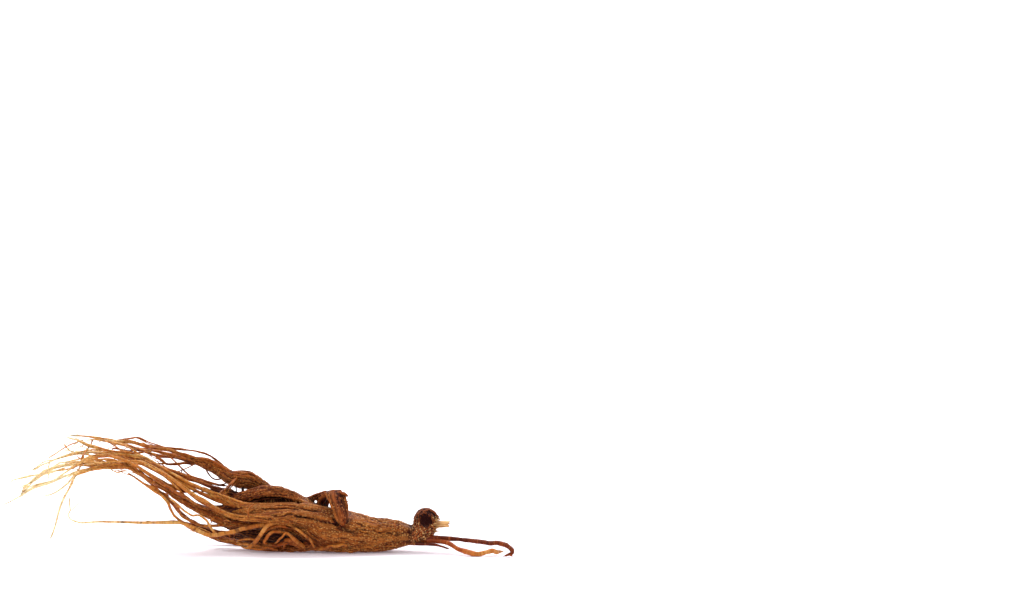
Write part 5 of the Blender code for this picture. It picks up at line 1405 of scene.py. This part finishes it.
    def made(self, name: str, limbs: Iterable[Limb], tree: Tree, finish: bpy.types.Material,
             sizes: dict[str, float]) -> bpy.types.Object:
        """Sweep limbs into one piece.

        Args:
            name: The piece's name.
            limbs: The rootlets in it.
            tree: The tree that sweeps them.
            finish: Their material.
            sizes: What the tree's inputs are set to.

        Returns:
            The piece, in millimetres.
        """
        points, edges, carried, past = [], [], {"radius": [], "tone": [], "run": [], "strand": []}, 0
        for strand, limb in enumerate(limbs):
            trace = limb.traced(self.step, self.kink, strand)
            uneven = np.array([noise.noise(Vector((way / 2.2, strand * 5.3, 0))) for way in trace.run])
            slow = np.array([noise.noise(Vector((way / 9.0, strand * 5.3, 4))) for way in trace.run])
            left = trace.run[-1] - trace.run
            radius = trace.radius * (1 + 0.16 * uneven + 0.14 * slow)
            radius = np.maximum(self.thinnest, radius) * np.minimum(1, 0.25 + np.minimum(left, trace.run) / 1.5)
            line = trace.line
            line[:, 2] = np.maximum(line[:, 2], radius)
            points.append(line)
            edges += [(past + i, past + i + 1) for i in range(len(line) - 1)]
            past += len(line)
            carried["radius"].append(radius)
            carried["tone"].append(trace.tone + 0.05 * slow + 0.3 * np.clip((-98 - line[:, 0]) / 25, 0, 1))
            carried["run"].append(trace.run)
            carried["strand"].append(np.full(len(line), float(strand)))
        made = object_from(name, np.vstack(points), (), edges)
        for label, values in carried.items():
            give(made, label, np.concatenate(values))
        tree.put_on(made, finish, sizes)
        self.mark(made)
        return made

    @staticmethod
    def mark(made: bpy.types.Object) -> None:
        """Mark the creases and ridges of the swept rootlets, which their skin paints with shade and partly with
        highlight, and their few flecks.
        """
        points, edges, normals = points_of(made), edges_of(made), normals_of(made)
        hollow = ((smoothed(points, edges, 2) - points) * normals).sum(1)[:, None]
        neck = np.clip((points[:, 0] - 30) / 4, 0, 1)
        cavity = np.clip((hollow - smoothed(hollow, edges, 12))[:, 0] / 0.035, -1, 1)
        give(made, "cavity", cavity * (1 - 0.75 * neck))
        give(made, "fleck", np.full(len(points), 0.2))
        curls = np.exp(-((points[:, 0] + 26) / 12) ** 2 - ((points[:, 2] - 5) / 5) ** 2) * (points[:, 1] < 0)
        pale = np.exp(-((points[:, 0] - 58) / 7) ** 2) * (points[:, 2] < 2.6)
        give(made, "ruddy", 0.55 * neck * (1 - 0.7 * pale) + 0.35 * curls)


HAIRS: tuple[Limb, ...] = (
    Limb("thread_a", (0.44, 0.66), ((-101, 46.3, 12, 0.3), (-101.6, 44.6, 9, 0.3), (-103.2, 42.7, 6, 0.3),
        (-104.6, 39.8, 2, 0.3), (-105.6, 35.7, -4, 0.3), (-107, 33, -8, 0.24))),
    Limb("thread_b", (0.44, 0.66), ((-104.4, 46.7, 12, 0.3), (-110.4, 44.3, 10, 0.28),
        (-116.8, 40.2, 8, 0.28), (-119.4, 38.6, 8, 0.22))),
    Limb("thread_c", (0.44, 0.66), ((-118.8, 37, 7, 0.28), (-119.2, 34, 3, 0.28), (-119, 29.3, -8, 0.23))),
    Limb("thread_d", (0.44, 0.66), ((-113, 44.9, 10, 0.3), (-111.4, 43, 9, 0.28), (-109.9, 41.7, 8, 0.28),
        (-108.3, 41.3, 6, 0.23))),
    Limb("thread_e", (0.44, 0.66), ((-107.4, 39.5, 6, 0.28), (-105.8, 37.9, 3, 0.28),
        (-104.6, 36.8, 0, 0.22))),
    Limb("side_a", (0.6, 0.8), ((-90, 37, -8, 0.42), (-94.1, 37.7, -8, 0.4), (-102.7, 37.7, -8, 0.34),
        (-104.7, 36.8, -8, 0.2))),
    Limb("side_b", (0.72, 0.92), ((-111.8, 36.7, 0, 0.3), (-115, 36.4, 1, 0.26), (-118.8, 33.8, 2, 0.16))),
    Limb("side_c", (0.8, 0.95), ((-123.9, 30.7, -1, 0.32), (-126.5, 28.5, -3, 0.3), (-129.7, 26.9, -5, 0.24),
        (-131.6, 25.3, -6, 0.14))),
    Limb("side_d", (0.66, 0.9), ((-100, 39, 2, 0.4), (-106, 38.3, 4, 0.38), (-111, 37.3, 5, 0.34),
        (-114, 36.5, 6, 0.2))),
    Limb("side_e", (0.72, 0.96), ((-112, 34.5, -6, 0.42), (-118.8, 32.2, -7, 0.4), (-126.4, 31.3, -8, 0.34),
        (-132.8, 29.4, -8, 0.28), (-135.3, 28.1, -8, 0.16))),
    Limb("side_f", (0.6, 0.9), ((-80.2, 42.9, 15, 0.4), (-88.3, 44.4, 13, 0.38), (-94.1, 45.7, 12, 0.34),
        (-100, 46.8, 12, 0.2))),
    Limb("side_g", (0.6, 0.94), ((-80, 41, 9, 0.44), (-92.3, 41.2, 9, 0.42), (-97, 42.5, 10, 0.38),
        (-102.7, 43.9, 11, 0.34), (-107, 46.1, 12, 0.28), (-110.5, 47.6, 12, 0.16))),
    Limb("side_h", (0.56, 0.8), ((-86.3, 33, -8, 0.32), (-88.9, 32.9, -9, 0.32), (-90.9, 32.3, -10, 0.3),
        (-94.1, 33.8, -11, 0.2))),
    Limb("side_i", (0.5, 0.6), ((-71, 21.7, -7, 0.4), (-76.2, 25.8, -8, 0.36), (-80.2, 28.1, -9, 0.3),
        (-84, 30.2, -9, 0.2))),
    Limb("side_j", (0.5, 0.6), ((-83.1, 30.3, -8, 0.26), (-88, 32, -9, 0.2), (-91, 33.4, -9, 0.15))),
    Limb("loop_a", (0.18, 0.3), ((-55, 34.6, 10, 0.4), (-53, 31.5, 10, 0.36), (-51, 30, 10, 0.34),
        (-48, 30.2, 10, 0.3))),
    Limb("loop_b", (0.16, 0.3), ((-50.6, 27.6, 6, 0.34), (-48, 27.7, 7, 0.34), (-46, 28.5, 8, 0.3))),
    Limb("spur_a", (0.2, 0.3), ((-64.5, 32, 5, 0.3), (-64.6, 33.6, 5, 0.26), (-64.4, 34.9, 5, 0.2))),
    Limb("spur_b", (0.4, 0.5), ((-61.6, 29.6, 0, 0.26), (-62, 31, 0, 0.22), (-62.6, 32.2, 0, 0.16))),
    Limb("spur_c", (0.5, 0.5), ((2.2, 20.4, -6, 0.2), (3.4, 20.7, -6.4, 0.18), (4.6, 21.7, -7, 0.14))),
    Limb("spur_d", (0.42, 0.5), ((69, -1.3, -15.4, 0.5), (70.2, -1.8, -15.8, 0.4), (71.2, -2.1, -16, 0.2))),
    Limb("lobe_curl", (0.4, 0.5), ((-37.6, 13.4, -9, 0.3), (-37.6, 15.6, -9.2, 0.42), (-37.2, 17.4, -9, 0.42),
        (-36, 18.6, -8.6, 0.4), (-35, 19.8, -8, 0.3))),
    Limb("stub_a", (0.42, 0.5), ((-45.6, 8, -7.6, 0.4), (-45.4, 6.6, -7.4, 0.36), (-45, 5.2, -7, 0.24))),
    Limb("stub_b", (0.42, 0.5), ((-43.6, 8.6, -7.6, 0.32), (-43.2, 7.2, -7.4, 0.3), (-43.4, 5.6, -7, 0.2))),
    Limb("spur_e", (0.5, 0.6), ((-53, 11.2, -6, 0.3), (-52.2, 13, -7, 0.26), (-50.8, 14.6, -8, 0.16))),
    Limb("spur_f", (0.5, 0.6), ((-48, 12.4, -6, 0.3), (-46.4, 12.8, -7.4, 0.26), (-44.4, 12, -8.4, 0.16))),
)


@dataclass
class HairRootlets(Rootlets):
    """Threads that cross the sheaf, side branches, and fine hairs on the legs.

    Attributes:
        loose: How many hairs are drawn with the fixed seed.
        highest: How high a drawn hair may reach.
        nearest: How far it may reach to the front.
        farthest: How far it may reach to the back.
    """

    step: float = 0.6
    kink: float = 0.3
    thinnest: float = 0.19
    loose: int = 90
    highest: float = 46.5
    nearest: float = -15.5
    farthest: float = 25.0
    seed: int = 23

    def drawn(self) -> list[Limb]:
        """Fine hairs that leave the limbs, drawn with a fixed seed."""
        draw = random.Random(self.seed)
        named = {limb.name: limb for limb in LEGS + ROOTLETS}
        hosts = ("sheaf_a", "sheaf_b", "sheaf_c", "sheaf_d", "sheaf_e", "sheaf_f", "sheaf_g", "top_a", "top_b",
                 "top_c", "top_d", "hairy_leg", "hairy_leg", "middle_leg", "core_a", "long_low", "lower_run")
        made = []
        for number in range(self.loose):
            host = named[hosts[number % len(hosts)]]
            place = draw.uniform(0.25, 0.97) * (len(host.route) - 1)
            row = int(place)
            share = place - row
            x, z, y, r = (np.array(host.route[row]) * (1 - share) + np.array(host.route[row + 1]) * share)
            ahead = np.array(host.route[row + 1][:3], float) - host.route[row][:3]
            ahead /= np.linalg.norm(ahead)
            length = draw.uniform(2.0, 7.5)
            lean = draw.uniform(0.5, 1.3) * draw.choice((-1, 1))
            deep = draw.uniform(-0.7, 0.7)
            if not self.nearest < y + deep * length < self.farthest:
                deep = -deep
            rows = []
            for step in range(4):
                way = step / 3 * length
                fade = 1 - 0.3 * step / 3
                rows.append((x + ahead[0] * way - ahead[1] * lean * way * 0.5 * fade,
                             z + ahead[1] * way + abs(ahead[0]) * lean * way * 0.5 * fade,
                             y + deep * way, 0.24 - 0.035 * step))
            if rows[-1][1] > self.highest:
                rows = [(a, 2 * z - b, c, d) for a, b, c, d in rows]
            tone = host.tone[0] + (host.tone[1] - host.tone[0]) * place / (len(host.route) - 1)
            made.append(Limb(f"hair_{number}", (tone, min(1.0, tone + 0.12)), tuple(rows)))
        return made


@dataclass
class NeckScales:
    """Dry scales and torn bark on the knobbly neck."""

    per_square: float = 1.6
    smallest: float = 0.3
    largest: float = 0.95

    def made(self, root: bpy.types.Object, tree: Tree, finish: bpy.types.Material) -> bpy.types.Object:
        """Lay scales on a copy of the neck's skin.

        Args:
            root: The main root, in millimetres.
            tree: The tree that lays them.
            finish: Their material.

        Returns:
            The scales alone, in millimetres.
        """
        scales = bpy.data.objects.new("neck_scales", root.data.copy())
        bpy.context.scene.collection.objects.link(scales)
        tree.put_on(scales, finish, {"Per Square": self.per_square, "Smallest": self.smallest,
                                     "Largest": self.largest})
        points = points_of(scales)
        patchy = np.array([noise.noise(Vector(point) / 1.1) for point in points])
        high = np.clip((points[:, 2] - 13) / 2.5, 0, 1)
        give(scales, "grain", points)
        give(scales, "tone", np.clip(0.6 + 1.3 * patchy - 0.6 * high, 0, 1))
        return scales


@dataclass
class StemStub:
    """The broken base of the dried stem: a ribbed, hollow stick with a splintered end.

    Attributes:
        base: Where it leaves the neck's hollow.
        tip: Where it broke.
        radius: Its radius at its base and its tip.
    """

    base: tuple[float, float, float] = (36.4, 0.0, 10.7)
    tip: tuple[float, float, float] = (44.6, -0.6, 11.3)
    radius: tuple[float, float] = (1.65, 1.2)
    sides: int = 40
    rings: int = 34
    rib: float = 0.07
    seed: int = 4

    def stick(self) -> tuple[Array, list[tuple[int, ...]], Array, Array]:
        """The hollow stick's points, faces, grain and tone."""
        base, tip = np.array(self.base), np.array(self.tip)
        line = np.linspace(base, tip, self.rings)
        line[:, 2] += 0.25 * np.sin(np.linspace(0, math.pi, self.rings))
        ahead, across, upward = carried_frames(line)
        angles = np.linspace(0, 2 * math.pi, self.sides, endpoint=False)
        length = float(np.linalg.norm(tip - base))
        ragged = np.array([0.9 * noise.noise(Vector((3.1 * math.cos(a), 3.1 * math.sin(a), self.seed)))
                           for a in angles])
        rings, grain, tone = [], [], []
        walls = [(share, 1.0) for share in np.linspace(0, 1, self.rings)]
        walls += [(1.0, 0.72), (0.96, 0.5), (0.85, 0.4), (0.72, 0.3)]
        for share, part in walls:
            i = min(self.rings - 1, round(share * (self.rings - 1)))
            ribs = np.array([self.rib * math.cos(11 * a + 0.6 * math.sin(2 * a)) for a in angles])
            dents = np.array([0.1 * noise.noise(Vector((share * 5, 1.2 * math.cos(a), 1.2 * math.sin(a))))
                              for a in angles])
            reach = (np.interp(share, (0, 1), self.radius) + ribs + dents) * part
            torn = np.clip((share - 0.8) / 0.2, 0, 1) * ragged
            ring = line[i] + reach[:, None] * (np.cos(angles)[:, None] * across[i]
                                               + np.sin(angles)[:, None] * upward[i])
            rings.append(ring + torn[:, None] * ahead[i])
            grain += [(share * length, math.cos(a) * reach[k], math.sin(a) * reach[k])
                      for k, a in enumerate(angles)]
            tone += [0.35 + 0.6 * share if part == 1 else 0.25] * self.sides
        points, faces = skin_of(np.array(rings), base - ahead[0] * 0.1, line[-10])
        grain += [(0, 0, 0), (length, 0, 0)]
        return points, faces, np.array(grain), np.array(tone + [0.3, 0.1])

    def splinters(self) -> list[tuple[Array, list[tuple[int, ...]], Array, Array]]:
        """Torn strips that stand round the stick's base."""
        draw = random.Random(self.seed)
        made = []
        for number in range(17):
            around = 2 * math.pi * number / 17 + draw.uniform(-0.2, 0.2)
            out = np.array([0, math.cos(around), math.sin(around)])
            start = np.array([38.2 + draw.uniform(0, 1.1), -0.8, 10.9]) + out * draw.uniform(1.4, 2.7)
            length = draw.uniform(1.4, 2.8)
            flare = draw.uniform(0.05, 1.0)
            way = np.linspace(0, 1, 9)
            line = start + np.outer(way * length, (1, 0, 0)) + np.outer(flare * length * way ** 2, out)
            width, thin = draw.uniform(0.45, 0.85), 0.16

            def reach(i: int, angles: Array, width: float = width, thin: float = thin) -> tuple[Array, Array]:
                """The reach of a strip's ring, narrower to its torn end."""
                taper = 1 - 0.75 * (i / 8) ** 2
                return np.full(len(angles), width * taper), np.full(len(angles), thin * taper)

            points, faces = tube(line, 8, reach)
            count = len(points)
            made.append((points, faces, np.column_stack([points[:, 0], points[:, 1:] + 9 * number]),
                         np.full(count, draw.uniform(0.4, 1.0))))
        return made

    def made(self) -> bpy.types.Object:
        """Build the stick and its splinters.

        Returns:
            The piece, in millimetres.
        """
        points, faces, grains, tones, past = [], [], [], [], 0
        for some, their_faces, grain, tone in [self.stick(), *self.splinters()]:
            points.append(some)
            faces += [tuple(i + past for i in face) for face in their_faces]
            grains.append(grain)
            tones.append(tone)
            past += len(some)
        stub = object_from("stem_fibres", np.vstack(points), faces)
        give(stub, "grain", np.vstack(grains))
        give(stub, "tone", np.concatenate(tones))
        return stub


@dataclass
class Studio:
    """The pale sweep, soft lights and the camera."""

    width: float = 6.0
    front: float = -2.5
    bend: float = 1.3
    height: float = 3.0

    def sweep(self) -> None:
        """Lay the floor, which turns up behind into a wall."""
        radius = 0.8
        profile = [(self.front, 0.0), (self.bend, 0.0)]
        for step in range(1, 13):
            angle = math.pi / 2 * step / 12
            profile.append((self.bend + radius * math.sin(angle), radius - radius * math.cos(angle)))
        profile.append((self.bend + radius, self.height))
        points = [(side * self.width / 2, y, z - 0.0001) for y, z in profile for side in (-1, 1)]
        faces = [(2 * i, 2 * i + 1, 2 * i + 3, 2 * i + 2) for i in range(len(profile) - 1)]
        floor = object_from("floor", np.array(points) / MM, faces)
        floor.data.transform(Matrix.Scale(MM, 4))
        floor.data.materials.append(Paper().made())
        floor.data.shade_smooth()

    @staticmethod
    def lamp(name: str, place: tuple, aim: tuple, size: tuple[float, float], power: float,
             colour: Colour = (1, 1, 1)) -> None:
        """Hang a soft light at a place and point it.

        Args:
            name: Its name.
            place: Where it hangs, in metres.
            aim: What it points at.
            size: Its width and height.
            power: Its power.
            colour: Its colour.
        """
        light = bpy.data.lights.new(name, "AREA")
        light.shape = "RECTANGLE"
        light.size, light.size_y = size
        light.energy = power
        light.color = colour
        obj = bpy.data.objects.new(name, light)
        bpy.context.scene.collection.objects.link(obj)
        obj.location = place
        obj.rotation_euler = (Vector(aim) - Vector(place)).to_track_quat("-Z", "Y").to_euler()

    def lit(self) -> None:
        """Hang the lights and set the sky."""
        self.lamp("overhead", (-0.05, 0.25, 1.3), (-0.03, 0, 0), (2.4, 1.8), 19)
        self.lamp("front_left", (-0.9, -1.0, 0.8), (-0.03, 0, 0.02), (0.22, 0.22), 9)
        self.lamp("front_right", (1.0, -0.7, 0.5), (0, 0, 0.02), (0.15, 0.15), 3)
        self.lamp("wall_wash", (0, 0.9, 2.2), (0, 2.0, 0.5), (3.0, 0.5), 70)
        world = bpy.data.worlds.new("studio sky")
        bpy.context.scene.world = world
        world.use_nodes = True
        world.node_tree.nodes["Background"].inputs[0].default_value = (1, 1, 1, 1)
        world.node_tree.nodes["Background"].inputs[1].default_value = 0.25
        bpy.context.scene.view_settings.view_transform = "Standard"

    @staticmethod
    def camera() -> None:
        """Stand the camera where the root is seen from."""
        data = bpy.data.cameras.new("camera")
        data.lens, data.sensor_width = 118, 36
        data.clip_start, data.clip_end = 0.01, 20
        camera = bpy.data.objects.new("camera", data)
        bpy.context.scene.collection.objects.link(camera)
        camera.location = (0.0705, -1.3619, 0.2216)
        camera.rotation_euler = (math.radians(85), 0, 0)
        bpy.context.scene.camera = camera


STRAY_SEED = 11


def main() -> None:
    """Build the root's pieces in order and report each."""
    noise.seed_set(STRAY_SEED)
    logging.basicConfig(level=logging.INFO, format="%(name)s: %(message)s")
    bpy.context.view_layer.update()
    skin = RootSkin("root skin", coat=0.0, relief=0.0005).made()
    young = RootSkin("rootlet skin", roughness=0.42, coat=0.05, glow=0.2, relief=0.00006, streak=0.55,
                     hair=0.18, contrast=0.6, rings=0.08, furrow=0.5, inked=0.2).made()
    straw = Straw("dry straw").made()
    sweep = sweep_tree()

    root = MainRoot().made(fold_tree(), skin)
    scales = NeckScales().made(root, scatter_tree(), straw)
    rootlets = Rootlets()
    fanned = [limb for limb in ROOTLETS if limb.name.startswith(("sheaf", "top_", "core", "strut"))]
    lone = [limb for limb in ROOTLETS if limb not in fanned]
    sunk = ("arch", "curl", "toe", "long_low", "low_curve", "pale", "neck")
    lone = [limb.rooted(3.0) if limb.name.startswith(sunk) else limb for limb in lone]
    strands = [*rootlets.bundled(fanned), *lone, *rootlets.beside(), *rootlets.clinging(),
               *rootlets.crossing()]
    sheaf = rootlets.made("rootlets", strands, sweep, young,
                          {"Sides": 12.0, "Fold Depth": 0.5, "Fold Width": 0.45, "Knot Depth": 0.3})
    hairs = HairRootlets()
    threads = hairs.made("hair_rootlets", [*HAIRS, *hairs.drawn()], sweep, young,
                         {"Sides": 6.0, "Fold Depth": 0.05, "Knot Depth": 0.1})
    stub = StemStub().made()
    for piece in (root, sheaf, threads):
        finished(piece, piece.data.materials[0] if piece.data.materials else skin, "root")
    finished(scales, straw, "root")
    finished(stub, straw, "stem_stub")

    studio = Studio()
    studio.sweep()
    studio.lit()
    studio.camera()
    log.info("size written")


if __name__ == "__main__":
    main()
